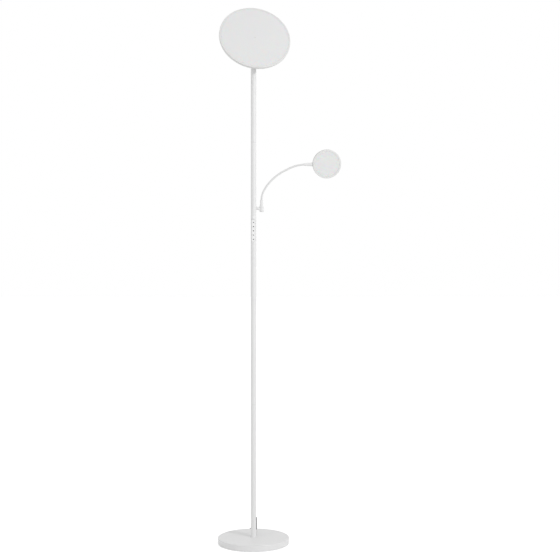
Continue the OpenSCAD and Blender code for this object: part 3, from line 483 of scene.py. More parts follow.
def turn(name: str, outline: Outline, steps: int = 96) -> Piece:
    """Turn a closed solid from an outline of (radius, height) points, as on a lathe.

    Args:
        name: The piece's name.
        outline: The outline's points, which are joined up, last to first.
        steps: How many steps go round.

    Returns:
        The piece, turned about the z axis.
    """
    deselect_all()
    bpy.ops.mesh.primitive_plane_add(size=MM, location=(0, 0, 0))
    piece = bpy.context.object
    piece.name = piece.data.name = name

    def work() -> None:
        """Draw the outline from one vertex and spin it."""
        bpy.ops.mesh.merge(type="CENTER")
        at = Vector((0, 0, 0))
        for i, (radius, height) in enumerate(list(outline) + [outline[0]]):
            goal = Vector((radius, 0, height))
            if i == 0:
                bpy.ops.transform.translate(value=goal - at)
            else:
                bpy.ops.mesh.extrude_region_move(TRANSFORM_OT_translate={"value": goal - at})
            at = goal
        bpy.ops.mesh.select_all(action="SELECT")
        bpy.ops.mesh.spin(steps=steps, angle=math.tau, center=(0, 0, 0), axis=(0, 0, 1))
        bpy.ops.mesh.select_all(action="SELECT")
        bpy.ops.mesh.remove_doubles(threshold=MERGE)
        bpy.ops.mesh.delete_loose()
        bpy.ops.mesh.select_all(action="SELECT")
        bpy.ops.mesh.dissolve_degenerate(threshold=MERGE)
        bpy.ops.mesh.select_all(action="SELECT")
        bpy.ops.mesh.normals_make_consistent(inside=False)

    in_edit_mode(piece, work)
    return piece


def slab(
    name: str, width: float, length: float, corner: float, low: float, high: float,
    edge: float = 0.0,
) -> Piece:
    """Make a flat plate with rounded corners.

    Args:
        name: The piece's name.
        width: Size along x.
        length: Size along y.
        corner: Radius of the four upright corners.
        low: Height of the underside.
        high: Height of the top.
        edge: Radius of the rounding along the top edge.

    Returns:
        The plate, centred on the z axis.
    """
    deselect_all()
    bpy.ops.mesh.primitive_plane_add(size=1)
    piece = bpy.context.object
    piece.name = piece.data.name = name

    def work() -> None:
        """Size the plane, round its corners and pull it up."""
        bpy.ops.transform.resize(value=(width, length, 1))
        bpy.ops.transform.translate(value=(0, 0, low))
        if corner > 0:
            bpy.ops.mesh.bevel(offset=corner, segments=8, affect="VERTICES")
        bpy.ops.mesh.select_all(action="SELECT")
        bpy.ops.mesh.extrude_region_move(TRANSFORM_OT_translate={"value": (0, 0, high - low)})
        bpy.ops.mesh.select_all(action="SELECT")
        bpy.ops.mesh.normals_make_consistent(inside=False)

    in_edit_mode(piece, work)
    if edge > 0:
        select_faces(piece, lambda face: face.normal.z > TOP_FACING)
        bpy.ops.mesh.bevel(offset=edge, segments=3, affect="EDGES")
        bpy.ops.object.mode_set(mode="OBJECT")
    return piece


def settle(piece: Piece, place: Matrix) -> Piece:
    """Move a piece and write the move into its mesh, so that its object stays at the origin.

    Args:
        piece: The piece.
        place: The matrix of the move.

    Returns:
        The piece.
    """
    pick(piece)
    piece.matrix_world = place
    bpy.ops.object.transform_apply(location=True, rotation=True, scale=True)
    return piece


def round_bar(radius: float, low: float, high: float, place: Matrix, steps: int = 48) -> Piece:
    """Make a plain round bar along a place's z axis, to add to a piece or to cut it with."""
    outline = [(0, low), (radius, low), (radius, high), (0, high)]
    return settle(turn("round_bar", outline, steps), place)


class Join(Enum):
    """The ways to bring two closed pieces together."""

    ADD = "UNION"
    CUT = "DIFFERENCE"
    COMMON = "INTERSECT"


def combine(piece: Piece, other: Piece, how: Join) -> Piece:
    """Add, cut or intersect one closed piece with another, which is used up.

    Args:
        piece: The piece that stays.
        other: The piece that works on it.
        how: What is done with the two.

    Returns:
        The piece that stays.
    """
    pick(piece)
    step = piece.modifiers.new(how.value.lower(), "BOOLEAN")
    step.operation = how.value
    step.solver = "EXACT"
    step.object = other
    bpy.ops.object.modifier_apply(modifier=step.name)
    bpy.data.objects.remove(other)
    return piece


def merge_pieces(name: str, pieces: Iterable[Piece]) -> Piece:
    """Join separate pieces into one object, whose solids stay apart.

    Args:
        name: The joined object's name.
        pieces: The pieces.

    Returns:
        The joined object.
    """
    parts = list(pieces)
    pick(parts[0])
    for part in parts[1:]:
        part.select_set(True)
    bpy.ops.object.join()
    parts[0].name = parts[0].data.name = name
    return parts[0]


def copies(piece: Piece, places: Sequence[Matrix]) -> list[Piece]:
    """Put a piece at the first of several places, and copies with meshes of their own at the rest.

    Args:
        piece: The piece to repeat.
        places: Where each one goes.

    Returns:
        The piece and its copies.
    """
    made = [piece]
    for _ in places[1:]:
        pick(piece)
        bpy.ops.object.duplicate()
        made.append(bpy.context.object)
    return [settle(part, place) for part, place in zip(made, places)]


def round_about(count: int, radius: float, start: float = 0.0) -> list[Matrix]:
    """Give places evenly round the z axis, from an angle in degrees, with x pointing outwards."""
    angles = [math.radians(start + 360 * i / count) for i in range(count)]
    return [Matrix.Rotation(a, 4, "Z") @ Matrix.Translation((radius, 0, 0)) for a in angles]


def shift(x: float = 0.0, y: float = 0.0, z: float = 0.0) -> Matrix:
    """Give the matrix of a plain move."""
    return Matrix.Translation((x, y, z))


def spin_about(angle: float, axis: str) -> Matrix:
    """Give the matrix of a turn by an angle in degrees about an axis through the origin."""
    return Matrix.Rotation(math.radians(angle), 4, axis)


@dataclass
class SubAssembly:
    """A part of the lamp that shares a palette and reports its pieces."""

    palette: Palette

    def finish_piece(
        self, piece: Piece, body: str, kind: FinishKind, slot: str, nodes: Sequence[str]
    ) -> Piece:
        """Dress a finished piece, let it ride on its body and stand for its CAD nodes.

        Args:
            piece: The piece, with its place in its mesh.
            body: The CAD body that it moves with.
            kind: Its finish.
            slot: Name of the piece's material slot; it is not used.
            nodes: The CAD nodes that it replaces.

        Returns:
            The piece.
        """
        if piece.type == "MESH" and not piece.data.polygons:
            raise ValueError(f"{piece.name} has no faces")
        self.palette.dress(piece, kind)
        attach(piece, body)
        if nodes:
            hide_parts(*nodes)
        stands_for = ", ".join(nodes) or "no node"
        log.info("%s rides on %s and stands for %s", piece.name, body, stands_for)
        return piece

    def coat(self, piece: Piece, body: str, node: str) -> Piece:
        """Finish a powder-coated piece, which stands for one CAD node."""
        return self.finish_piece(piece, body, FinishKind.WHITE_POWDER_COAT, "white_paint", [node])


# The studio


@dataclass(frozen=True)
class Studio:
    """Camera, lamps, floor and background.

    Attributes:
        camera_at: The camera's place; it looks level along +Y.
        focal_px: Focal length in pixels of the photograph.
        image_px: Width of the photograph's frame.
        sensor: Width of the sensor in millimetres.
        ambient: Strength of the light from all round.
        floor_size: Side of the square floor.
        floor_y: Distance of the floor's middle behind the lamp.
        floor_lift: Light that the camera alone sees on the floor, so that it reads as white.
        softbox_size: Side of a square softbox.
        target: The point that the softboxes face.
        softboxes: Name, place and power in watts of each softbox.
    """

    camera_at: tuple[float, float, float] = (0.089, -3.479, 0.885)
    focal_px: float = 1034.0
    image_px: float = 560.0
    sensor: float = 36.0
    ambient: float = 0.66
    floor_size: float = 60.0
    floor_y: float = 20.0
    floor_lift: float = 0.5
    softbox_size: float = 0.5
    target: tuple[float, float, float] = (0.0, 0.0, 0.9)
    softboxes: tuple[tuple[str, tuple[float, float, float], float], ...] = (
        ("key_softbox", (2.8, -2.3, 2.2), 44.0),
        ("fill_softbox", (-2.6, -2.2, 1.9), 8.0),
    )

    def add_camera(self) -> None:
        """Set up the level camera at the photograph's viewpoint."""
        deselect_all()
        bpy.ops.object.camera_add(location=self.camera_at, rotation=(math.pi / 2, 0, 0))
        camera = bpy.context.object
        camera.data.sensor_width = self.sensor
        camera.data.lens = self.focal_px / self.image_px * self.sensor
        camera.data.clip_start = 0.05
        camera.data.clip_end = 200
        bpy.context.scene.camera = camera

    def _seen(self, tree: bpy.types.NodeTree) -> bpy.types.NodeSocket:
        """Add the nodes that give 1 to camera, glossy and transmission rays and 0 to the rest."""
        rays = add_node(tree, "ShaderNodeLightPath").outputs
        shiny = maximum(tree, rays["Is Glossy Ray"], rays["Is Transmission Ray"])
        return maximum(tree, rays["Is Camera Ray"], shiny)

    def add_background(self) -> None:
        """Make a world that is white to look at and softer as a light."""
        world = bpy.data.worlds.new("white studio")
        bpy.context.scene.world = world
        tree = blank_tree(world)
        white = linear("ffffff")
        light, seen = (
            add_node(tree, "ShaderNodeBackground", {"Color": white, "Strength": strength})
            for strength in (self.ambient, 1.0)
        )
        links = {
            0: self._seen(tree),
            1: light.outputs["Background"],
            2: seen.outputs["Background"],
        }
        mix = add_node(tree, "ShaderNodeMixShader", {}, links)
        add_node(tree, "ShaderNodeOutputWorld", {}, {"Surface": mix.outputs["Shader"]})

    def add_floor(self) -> None:
        """Lay a wide pale floor that keeps the lamp's shadow."""
        deselect_all()
        bpy.ops.mesh.primitive_plane_add(size=self.floor_size, location=(0, self.floor_y, 0))
        floor = bpy.context.object
        floor.name = "studio_floor"
        material = bpy.data.materials.new("matt white floor")
        tree = blank_tree(material)
        matt = {"Color": linear("f2f2f2"), "Roughness": 0.5}
        paint = add_node(tree, "ShaderNodeBsdfDiffuse", matt)
        share = {"operation": "MULTIPLY", 1: self.floor_lift}
        lift = add_node(tree, "ShaderNodeMath", share, {0: self._seen(tree)}).outputs["Value"]
        white = {"Color": linear("ffffff")}
        glow = add_node(tree, "ShaderNodeEmission", white, {"Strength": lift})
        links = {0: paint.outputs["BSDF"], 1: glow.outputs["Emission"]}
        both = add_node(tree, "ShaderNodeAddShader", {}, links)
        add_node(tree, "ShaderNodeOutputMaterial", {}, {"Surface": both.outputs["Shader"]})
        floor.data.materials.append(material)

    def add_softbox(self, name: str, at: tuple[float, float, float], power: float) -> None:
        """Hang one square softbox.

        Args:
            name: Its name.
            at: Its place.
            power: Its power in watts.
        """
        deselect_all()
        aim = (Vector(self.target) - Vector(at)).to_track_quat("-Z", "Y").to_euler()
        bpy.ops.object.light_add(type="AREA", location=at, rotation=aim)
        lamp = bpy.context.object
        lamp.name = name
        lamp.data.shape = "SQUARE"
        lamp.data.size = self.softbox_size
        lamp.data.energy = power

    def build(self) -> None:
        """Set up everything but the camera."""
        bpy.context.scene.view_settings.view_transform = "Standard"
        self.add_background()
        self.add_floor()
        for name, at, power in self.softboxes:
            self.add_softbox(name, at, power)


# The supply lead


@dataclass(frozen=True)
class Outlet:
    """The place low in the pole's back where the supply lead comes out.

    Attributes:
        height: Height of its middle.
        turned: Its turn from straight back to the right, in degrees.
    """

    height: float = 82 * MM
    turned: float = 34.0

    def frame(self) -> Matrix:
        """Give the frame on the pole's axis whose z axis points out through the outlet."""
        return shift(z=self.height) @ spin_about(-self.turned, "Z") @ spin_about(-90, "X")


@dataclass
class SupplyLead(SubAssembly):
    """The black low-voltage lead with its strain relief, tied hank and barrel connector.

    Attributes:
        lead_d: Diameter of the lead.
        boot_out: Distance from the pole's skin to the strain relief's head.
        hank_run: Length of the hank's straight runs.
        hank_in_r: Radius of the innermost bend.
        hank_pitch: Distance between two turns.
        hank_turns: Turns in each of the two layers.
        hank_rings: Points in each turn.
        hank_waist: How far the tie draws the runs in.
        hank_x: Middle of the hank.
        hank_near_y: Line of the hank's nearest run.
        hank_low_z: Height of the lower layer's centreline.
        layer_rise: Height between the layers.
        tail: Length of lead between the hank and the connector.
        tie_w: Width of the tie.
        tie_t: Thickness of the tie.
    """

    lead_d: float = 3.5 * MM
    boot_out: float = 2.6 * MM
    hank_run: float = 62 * MM
    hank_in_r: float = 8.2 * MM
    hank_pitch: float = 4.1 * MM
    hank_turns: int = 3
    hank_rings: int = 24
    hank_waist: float = 5 * MM
    hank_x: float = -4 * MM
    hank_near_y: float = 122.6 * MM
    hank_low_z: float = 2.15 * MM
    layer_rise: float = 3.95 * MM
    tail: float = 24 * MM
    tie_w: float = 8 * MM
    tie_t: float = 0.3 * MM

    def route(self) -> list[Vector]:
        """Give the lead's listed points, over the base's back edge to the hank."""
        points = [
            (6.9, 18.6, 42.5), (6.95, 19.6, 38.1), (6.8, 21.5, 33.8), (6.4, 24.7, 29.6),
            (5.9, 29.1, 26.1), (5.4, 34.7, 23.75), (5, 41.5, 22.85), (4.8, 50, 22.8),
            (4.6, 60, 22.8), (4.3, 71, 22.8), (4, 82, 22.8), (3.7, 92, 22.8), (3.1, 99, 22.8),
            (1.6, 105.4, 22.8), (-0.9, 111, 22.8), (-4.2, 115.3, 22.85), (-7, 117.96, 22.81),
            (-9.5, 119.11, 22.32), (-12, 119.95, 21.38), (-14.6, 120.32, 20.13),
            (-17.4, 120.75, 17.7), (-20.2, 121.7, 14.9), (-23, 122.3, 12), (-25.5, 122.55, 9.2),
            (-27.2, 122.6, 7.5), (-28.8, 122.6, 6.4), (-30.2, 122.6, 6.1), (-31.5, 122.6, 6.1),
        ]
        return [Vector(p) * MM for p in points]

    def _step_at(self) -> float:
        """Give the turn at which the hank steps down to its lower layer."""
        return self.hank_turns - 1 / 12

    def bend_radius(self, turns: float) -> float:
        """Give the radius of the hank's bends after so many turns."""
        return self.hank_in_r + self.hank_pitch * abs(turns - self._step_at())

    def waist(self, x: float) -> float:
        """Give how far the runs are drawn in, at a place along them."""
        return self.hank_waist * (1 + math.cos(math.tau * x / self.hank_run)) / 2

    def hank_point(self, turns: float) -> Vector:
        """Give the lead's place in the hank.

        Args:
            turns: Turns wound so far, from 0 to twice hank_turns.

        Returns:
            The point on the lead's centreline.
        """
        part = turns - math.floor(turns)
        radius = self.bend_radius(turns)
        half = self.hank_run / 2
        # A turn is a bend for a third of it, a run for a sixth, and the same again back
        if part < 1 / 3:
            angle = math.radians(270 - 540 * part)
            flat = (-half + radius * math.cos(angle), radius * math.sin(angle))
        elif part < 1 / 2:
            x = self.hank_run * (6 * part - 2.5)
            flat = (x, radius - self.waist(x))
        elif part < 5 / 6:
            angle = math.radians(90 - 540 * (part - 1 / 2))
            flat = (half + radius * math.cos(angle), radius * math.sin(angle))
        else:
            x = self.hank_run * (5.5 - 6 * part)
            flat = (x, self.waist(x) - radius)
        stepped = min(1.0, max(0.0, (turns - self._step_at()) * 6 + 0.5))
        height = self.hank_low_z + self.layer_rise * (1 + math.cos(math.pi * stepped)) / 2
        middle = self.hank_near_y + self.bend_radius(0)
        return Vector((self.hank_x + flat[0], middle + flat[1], height))

    def hank(self) -> list[Vector]:
        """Give the points of the hank and of the tail that leaves it."""
        total = 2 * self.hank_turns
        wound = [self.hank_point(i / self.hank_rings) for i in range(total * self.hank_rings)]
        middle = self.hank_near_y + self.bend_radius(0)
        end = Vector((wound[0].x, middle - self.bend_radius(total), self.hank_low_z))
        return wound + [end, end - Vector((self.tail / 2, 0, 0)), end - Vector((self.tail, 0, 0))]

    def build_lead(self, with_pieces: Sequence[Piece]) -> Piece:
        """Args:
            with_pieces: The tie and the connector; they are not used.

        Returns:
            The curve object.
        """
        points = self.route() + self.hank()
        line = bpy.data.curves.new("supply_lead_line", "CURVE")
        line.dimensions = "3D"
        line.resolution_u = 3
        line.bevel_depth = self.lead_d / 2
        line.bevel_resolution = 3
        line.use_fill_caps = True
        spline = line.splines.new("BEZIER")
        spline.bezier_points.add(len(points) - 1)
        for knot, point in zip(spline.bezier_points, points):
            knot.co = point
            knot.handle_left_type = knot.handle_right_type = "AUTO"
        lead = bpy.data.objects.new("flexible_lead", line)
        bpy.context.scene.collection.objects.link(lead)
        kind = FinishKind.BLACK_PVC
        self.finish_piece(lead, "stand", kind, "cord_black", ["supply_lead", "lead_hank"])
        return lead

    def build_connector(self) -> tuple[Piece, Piece]:
        """Model the barrel connector: a ribbed relief, a grip and a plated barrel.

        Returns:
            The moulded grip, and the barrel.
        """
        tail_end = self.hank()[-1]
        relief_l, body_l, barrel_l = 10 * MM, 14 * MM, 9.5 * MM
        body_r, barrel_r, bore_r = 4.5 * MM, 2.75 * MM, 1.05 * MM
        start_r, end_r = self.lead_d / 2 + 0.3 * MM, 3 * MM
        rib_count, rib_depth, root_z = 4, 0.45 * MM, relief_l + 0.2 * MM
        relief: Points = [(0, 0), (start_r, 0)]
        for i in range(rib_count):
            low, high = (relief_l * (i + share) / (rib_count + 1) for share in (0.35, 0.75))
            here = start_r + (end_r - start_r) * (i + 0.5) / rib_count
            relief += hollow(here, rib_depth, low, high, 0.15 * MM)
        relief += [(end_r, relief_l * 0.93), (end_r, root_z), (0, root_z)]
        lie = body_r - self.hank_low_z
        lean = math.atan2(lie, relief_l)
        cone = turn("relief", relief, 32)
        away = spin_about(-90, "Y")
        settle(cone, Matrix.Translation(tail_end) @ Matrix.Rotation(lean, 4, "Y") @ away)
        grip_at = Matrix.Translation(tail_end + Vector((-relief_l, 0, lie))) @ away
        soft, ring_count, first_ring, ring_pitch = 0.9 * MM, 5, 3.4 * MM, 1.7 * MM
        grip: Points = [(0, 0)] + arc((body_r - soft, soft), soft, -90, 0, 4)
        for i in range(ring_count):
            ring = first_ring + i * ring_pitch
            grip += hollow(body_r, 0.3 * MM, ring, ring + MM, 0.25 * MM)
        grip += arc((body_r - soft, body_l - soft), soft, 0, 90, 4) + [(0, body_l)]
        body = settle(turn("grip", grip, 48), grip_at)
        moulding = smooth(merge_pieces("connector_grip", [body, cone]))
        tip, edge, lip = body_l + barrel_l, 0.4 * MM, 0.3 * MM
        sleeve = [
            (bore_r, body_l - 2 * MM), (barrel_r, body_l - 2 * MM), (barrel_r, tip - edge),
            (barrel_r - edge, tip), (bore_r + lip, tip), (bore_r, tip - lip),
        ]
        barrel = smooth(settle(turn("connector_barrel", sleeve, 40), grip_at))
        self.finish_piece(moulding, "stand", FinishKind.BLACK_PVC, "plug_black", ["lead_connector"])
        self.finish_piece(barrel, "stand", FinishKind.NICKEL_PLATE, "steel", [])
        return moulding, barrel

    def build_tie(self) -> Piece:
        """Model the woven tie as a flat band round the hank, with its loose end lapped on top.

        Returns:
            The tie.
        """
        low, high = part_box("hank_tie")
        wide, tall = high.y - low.y, high.z - low.z
        corner, inset = 1.5 * MM, 0.4 * MM
        outer = slab("hank_tie_band", wide, tall, corner, 0, self.tie_w)
        inner = slab(
            "inside", wide - 2 * self.tie_t, tall - 2 * self.tie_t, corner - self.tie_t,
            -MM, self.tie_w + MM,
        )
        band = combine(outer, inner, Join.CUT)
        lap_l, lap_t = 11 * MM, 0.35 * MM
        lap = slab("lap", lap_l, lap_t, 0, inset, self.tie_w - inset)
        settle(lap, shift(x=wide / 2 - corner - lap_l / 2, y=tall / 2 + lap_t / 2))
        tie = merge_pieces("hank_tie_band", [band, lap])
        middle = (low + high) / 2
        # The band's x, y and z run along the lamp's y, z and x
        upright = Matrix(((0, 0, 1, 0), (1, 0, 0, 0), (0, 1, 0, 0), (0, 0, 0, 1)))
        smooth(settle(tie, shift(low.x, middle.y, middle.z) @ upright))
        return self.finish_piece(tie, "stand", FinishKind.WOVEN_NYLON, "tie_black", ["hank_tie"])

    def build_boot(self) -> Piece:
        """Model the strain relief: a domed head in the pole's back and a ribbed tail pointing down.

        Returns:
            The strain relief.
        """
        tube_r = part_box("top_tube")[1].x
        head_r, dome, root_r, end_r, neck_r = 4.7 * MM, 1.6 * MM, 4.6 * MM, 4.3 * MM, 3.4 * MM
        out = Outlet().frame()
        head_at, sunk = tube_r + self.boot_out, tube_r - 2 * MM
        head, top = out @ Vector((0, 0, head_at)), head_at + head_r - dome
        shape: Points = [(0, sunk), (head_r, sunk)]
        shape += arc((head_r - dome, top - dome), dome, 0, 90, 5) + [(0, top)]
        boot = settle(turn("strain_relief", shape, 48), out)
        run = self.route()[0] - head
        tail_l = run.length
        # The ribs' places and width are shares of the tail's length
        rib_count, rib_depth, rib_w, first, last = 6, 0.55 * MM, 0.055, 0.28, 0.94
        tail: Points = [(0, head_r / 2), (root_r, head_r / 2)]
        for i in range(rib_count):
            share = first + (last - first) * i / rib_count
            here = root_r + (end_r - root_r) * share
            tail += hollow(here, rib_depth, tail_l * share, tail_l * (share + rib_w), 0.3 * MM)
        tail += [(end_r, tail_l - 0.5 * MM), (end_r - 0.5 * MM, tail_l), (0, tail_l)]
        down = Matrix.Translation(head) @ run.to_track_quat("Z", "Y").to_matrix().to_4x4()
        combine(boot, settle(turn("tail", tail, 40), down), Join.ADD)
        combine(boot, round_bar(tube_r + FIT, 0, 200 * MM, shift(), 96), Join.CUT)
        combine(boot, round_bar(neck_r, tube_r - 5 * MM, tube_r + MM, out, 32), Join.ADD)
        smooth(boot, 40)
        return self.finish_piece(boot, "stand", FinishKind.BLACK_PVC, "cord_black", ["cord_boot"])

    def build(self) -> None:
        """Build the lead and all that is on it."""
        grip, barrel = self.build_connector()
        self.build_lead([self.build_tie(), grip, barrel])
        self.build_boot()


# The base and the pole


@dataclass
class Base(SubAssembly):
    """The round base: a pressed cover over a cast weight, and the ring round the pole's foot.

    Attributes:
        wall: Sheet thickness of the cover.
        edge_r: Radius of its rounded top edge.
        hole_r: Radius of the anchor bolt's hole.
    """

    wall: float = 1.5 * MM
    edge_r: float = 2 * MM
    hole_r: float = 5.3 * MM

    def build_cover(self) -> Piece:
        """Press the cover, with its rounded top edge and a hem round its lower rim."""
        low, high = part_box("base_cover")
        radius, top, hem = high.x, high.z, self.wall / 2
        corner = (radius - self.edge_r, top - self.edge_r)
        outline = arc((radius - hem, low.z + hem), hem, 180, 360, 8)
        outline += arc(corner, self.edge_r, 0, 90, 12)
        outline += [(self.hole_r, top), (self.hole_r, top - self.wall)]
        outline += arc(corner, self.edge_r - self.wall, 90, 0, 8)
        cover = smooth(turn("base_shell", outline, 192))
        return self.coat(cover, "stand", "base_cover")

    def build_foot_ring(self) -> Piece:
        """Turn the fine ring that hides the joint between the pole and the base."""
        low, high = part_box("foot_collar")
        in_r, out_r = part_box("top_tube")[1].x + FIT, high.x
        soft, foot = 0.9 * MM, 0.25 * MM
        outline = [(in_r, low.z), (out_r - foot, low.z), (out_r, low.z + foot)]
        outline += arc((out_r - soft, high.z - soft), soft, 0, 80, 6)
        outline += [(in_r + 0.2 * MM, high.z), (in_r, high.z - 0.2 * MM)]
        ring = smooth(turn("foot_ring", outline, 96), 50)
        return self.coat(ring, "stand", "foot_collar")

    def build(self) -> None:
        """Build the base's visible pieces."""
        self.build_cover()
        self.build_foot_ring()


@dataclass
class Pole(SubAssembly):
    """The pole's four tubes, with the openings that other parts need.

    Attributes:
        wall: Wall of the tubes.
        chamfer: Chamfer at each tube's ends.
        seam_gap: Gap from a tube's end to its seam's middle, so that the seam shows dark.
        cutter_l: Length of the cutters, from the pole's axis outwards.
        strip_gap: Gap round the control strip.
        outlet_r: Radius of the lead's outlet.
        bracket_z: Height of the arm bracket's hole.
        bracket_r: Radius of that hole.
        window_z: Height of the indicator window's middle above the upper tube's lower end.
        window_w: Width of the window.
        window_l: Length of the window.
        window_r: Radius of its corners.
        window_edge: Radius of the rounding round its face.
        window_back: Distance from the pole's axis to the window's back.
        window_front: The same to its face.
        window_gap: Gap round it.
    """

    wall: float = 1.5 * MM
    chamfer: float = 0.4 * MM
    seam_gap: float = 0.2 * MM
    cutter_l: float = 14 * MM
    strip_gap: float = 0.2 * MM
    outlet_r: float = 3.45 * MM
    bracket_z: float = 1127.5 * MM
    bracket_r: float = 3.55 * MM
    window_z: float = 6.5 * MM
    window_w: float = 5.4 * MM
    window_l: float = 7 * MM
    window_r: float = 1.2 * MM
    window_edge: float = 0.25 * MM
    window_back: float = 7.2 * MM
    window_front: float = 9.15 * MM
    window_gap: float = 0.1 * MM

    def tube(self, node: str, name: str) -> Piece:
        """Draw one tube between the ends of its CAD node, with a chamfer at each end.

        Args:
            node: The CAD node.
            name: The new piece's name.

        Returns:
            The tube, without its openings.
        """
        low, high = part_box(node)
        radius = high.x
        bore, lip = radius - self.wall, radius - self.chamfer
        low_z, high_z = low.z + self.seam_gap, high.z - self.seam_gap
        outline = [
            (bore, low_z), (lip, low_z), (radius, low_z + self.chamfer),
            (radius, high_z - self.chamfer), (lip, high_z), (bore, high_z),
        ]
        return turn(name, outline, 96)

    def cut_hole(self, tube: Piece, radius: float, place: Matrix) -> None:
        """Cut a round hole in one side of a tube, along the place's z axis."""
        combine(tube, round_bar(radius, 0, self.cutter_l, place), Join.CUT)

    def cut_slot(
        self, tube: Piece, width: float, length: float, corner: float, place: Matrix
    ) -> None:
        """Cut an opening with rounded corners in one side of a tube, along the place's z axis."""
        cutter = slab("opening", width, length, corner, 0, self.cutter_l)
        combine(tube, settle(cutter, place), Join.CUT)

    def build(self) -> None:
        """Draw the tubes and cut their openings."""
        lower = self.tube("lower_tube", "pole_tube_1")
        self.cut_hole(lower, self.outlet_r, Outlet().frame())
        strip, around = ControlStrip(self.palette), 2 * self.strip_gap
        middle = self.tube("middle_tube", "pole_tube_2")
        size = (strip.width + around, strip.length + around, strip.corner_r)
        self.cut_slot(middle, *size, strip.facing_front())
        upper = self.tube("upper_tube", "pole_tube_3")
        self.cut_hole(upper, self.bracket_r, shift(z=self.bracket_z) @ spin_about(90, "Y"))
        window_at = strip.facing_front(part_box("upper_tube")[0].z + self.window_z)
        around = 2 * self.window_gap
        size = (self.window_w + around, self.window_l + around, self.window_r)
        self.cut_slot(upper, *size, window_at)
        window = slab(
            "indicator_window", self.window_w, self.window_l, self.window_r,
            self.window_back, self.window_front, self.window_edge,
        )
        smooth(settle(window, window_at))
        self.finish_piece(window, "stand", FinishKind.GLOSSY_POLYCARBONATE, "strip_plastic", [])
        top = self.tube("top_tube", "pole_tube_4")
        nodes = ("lower_tube", "middle_tube", "upper_tube", "top_tube")
        for tube, node in zip((lower, middle, upper, top), nodes):
            self.coat(smooth(tube), "stand", node)


@dataclass
class ControlStrip(SubAssembly):
    """The bright strip let into the pole's front, with its five keys.

    Attributes:
        middle_z: Height of the strip's middle.
        width: Width of the strip.
        length: Length of the strip.
        corner_r: Radius of its corners.
        edge: Radius of the rounding round its face.
        front: Distance from the pole's axis to the strip's face.
        back: Distance from the pole's axis to the strip's back edge.
        wall: Thickness of its front wall.
        side: Thickness of its side walls.
        key_r: Radius of a key.
        key_gap: Gap round a key.
        key_proud: How far a key stands proud.
        key_dish: Depth of the hollow in a key's face.
        flange: Width and thickness of the flange behind a key.
    """

    middle_z: float = 1050 * MM
    width: float = 10.4 * MM
    length: float = 73 * MM
    corner_r: float = 2.4 * MM
    edge: float = 0.45 * MM
    front: float = 9.2 * MM
    back: float = 4.0 * MM
    wall: float = 1.4 * MM
    side: float = 0.8 * MM
    key_r: float = 1.5 * MM
    key_gap: float = 0.1 * MM
    key_proud: float = 0.6 * MM
    key_dish: float = 0.18 * MM
    flange: float = 0.6 * MM

    def facing_front(self, height: float | None = None) -> Matrix:
        """Give the frame on the pole's axis whose z axis points forward.

        Args:
            height: The frame's height, or None for that of the strip's middle.

        Returns:
            The frame.
        """
        return shift(z=self.middle_z if height is None else height) @ spin_about(90, "X")

    def key_heights(self) -> list[float]:
        """Give the heights of the five keys, from their CAD nodes."""
        boxes = [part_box(f"button_{i}") for i in range(1, 6)]
        return [(low.z + high.z) / 2 for low, high in boxes]

    def build_strip(self) -> Piece:
        """Mould the strip as a shell with a softly rounded face and a flared hole for each key."""
        strip = slab(
            "control_strip", self.width, self.length, self.corner_r, self.back, self.front,
            self.edge,
        )
        inside = slab(
            "inside", self.width - 4 * self.side, self.length - 3 * self.side, 0,
            self.back - MM, self.front - self.wall,
        )
        combine(strip, inside, Join.CUT)
        settle(strip, self.facing_front())
        hole_r, sink = self.key_r + self.key_gap, 0.3 * MM
        hole = [
            (0, self.back), (hole_r, self.back), (hole_r, self.front - sink),
            (hole_r + 2 * sink, self.front + sink), (0, self.front + sink),
        ]
        for height in self.key_heights():
            combine(strip, settle(turn("hole", hole, 48), self.facing_front(height)), Join.CUT)
        smooth(strip)
        kind = FinishKind.GLOSSY_POLYCARBONATE
        return self.finish_piece(strip, "stand", kind, "strip_plastic", ["control_bezel"])

    def build_keys(self) -> None:
        """Turn one key with a rounded rim and a hollow face, and copy it to the five places."""
        top = self.front + self.key_proud
        low = self.front - self.wall - self.key_gap - self.flange
        rim, foot_r = 0.3 * MM, self.key_r + self.flange
        outline: Points = [
            (0, low), (foot_r, low), (foot_r, low + self.flange), (self.key_r, low + self.flange),
        ]
        outline += arc((self.key_r - rim, top - rim), rim, 0, 90, 5)
        # Shares of the radius, and the share of the dish's depth that is reached there
        for out, down in ((0.55, 0.7), (0.25, 1), (0, 1)):
            outline.append((self.key_r * out, top - self.key_dish * down))
        key = smooth(turn("key", outline, 48))
        made = copies(key, [self.facing_front(height) for height in self.key_heights()])
        for number, piece in enumerate(made, start=1):
            piece.name = piece.data.name = f"key_cap_{number}"
            kind = FinishKind.BLACK_KEY_ABS
            self.finish_piece(piece, f"key_{number}", kind, "key_black", [f"button_{number}"])

    def build(self) -> None:
        """Build the strip and its keys."""
        self.build_strip()
        self.build_keys()


# The arm and the reading light


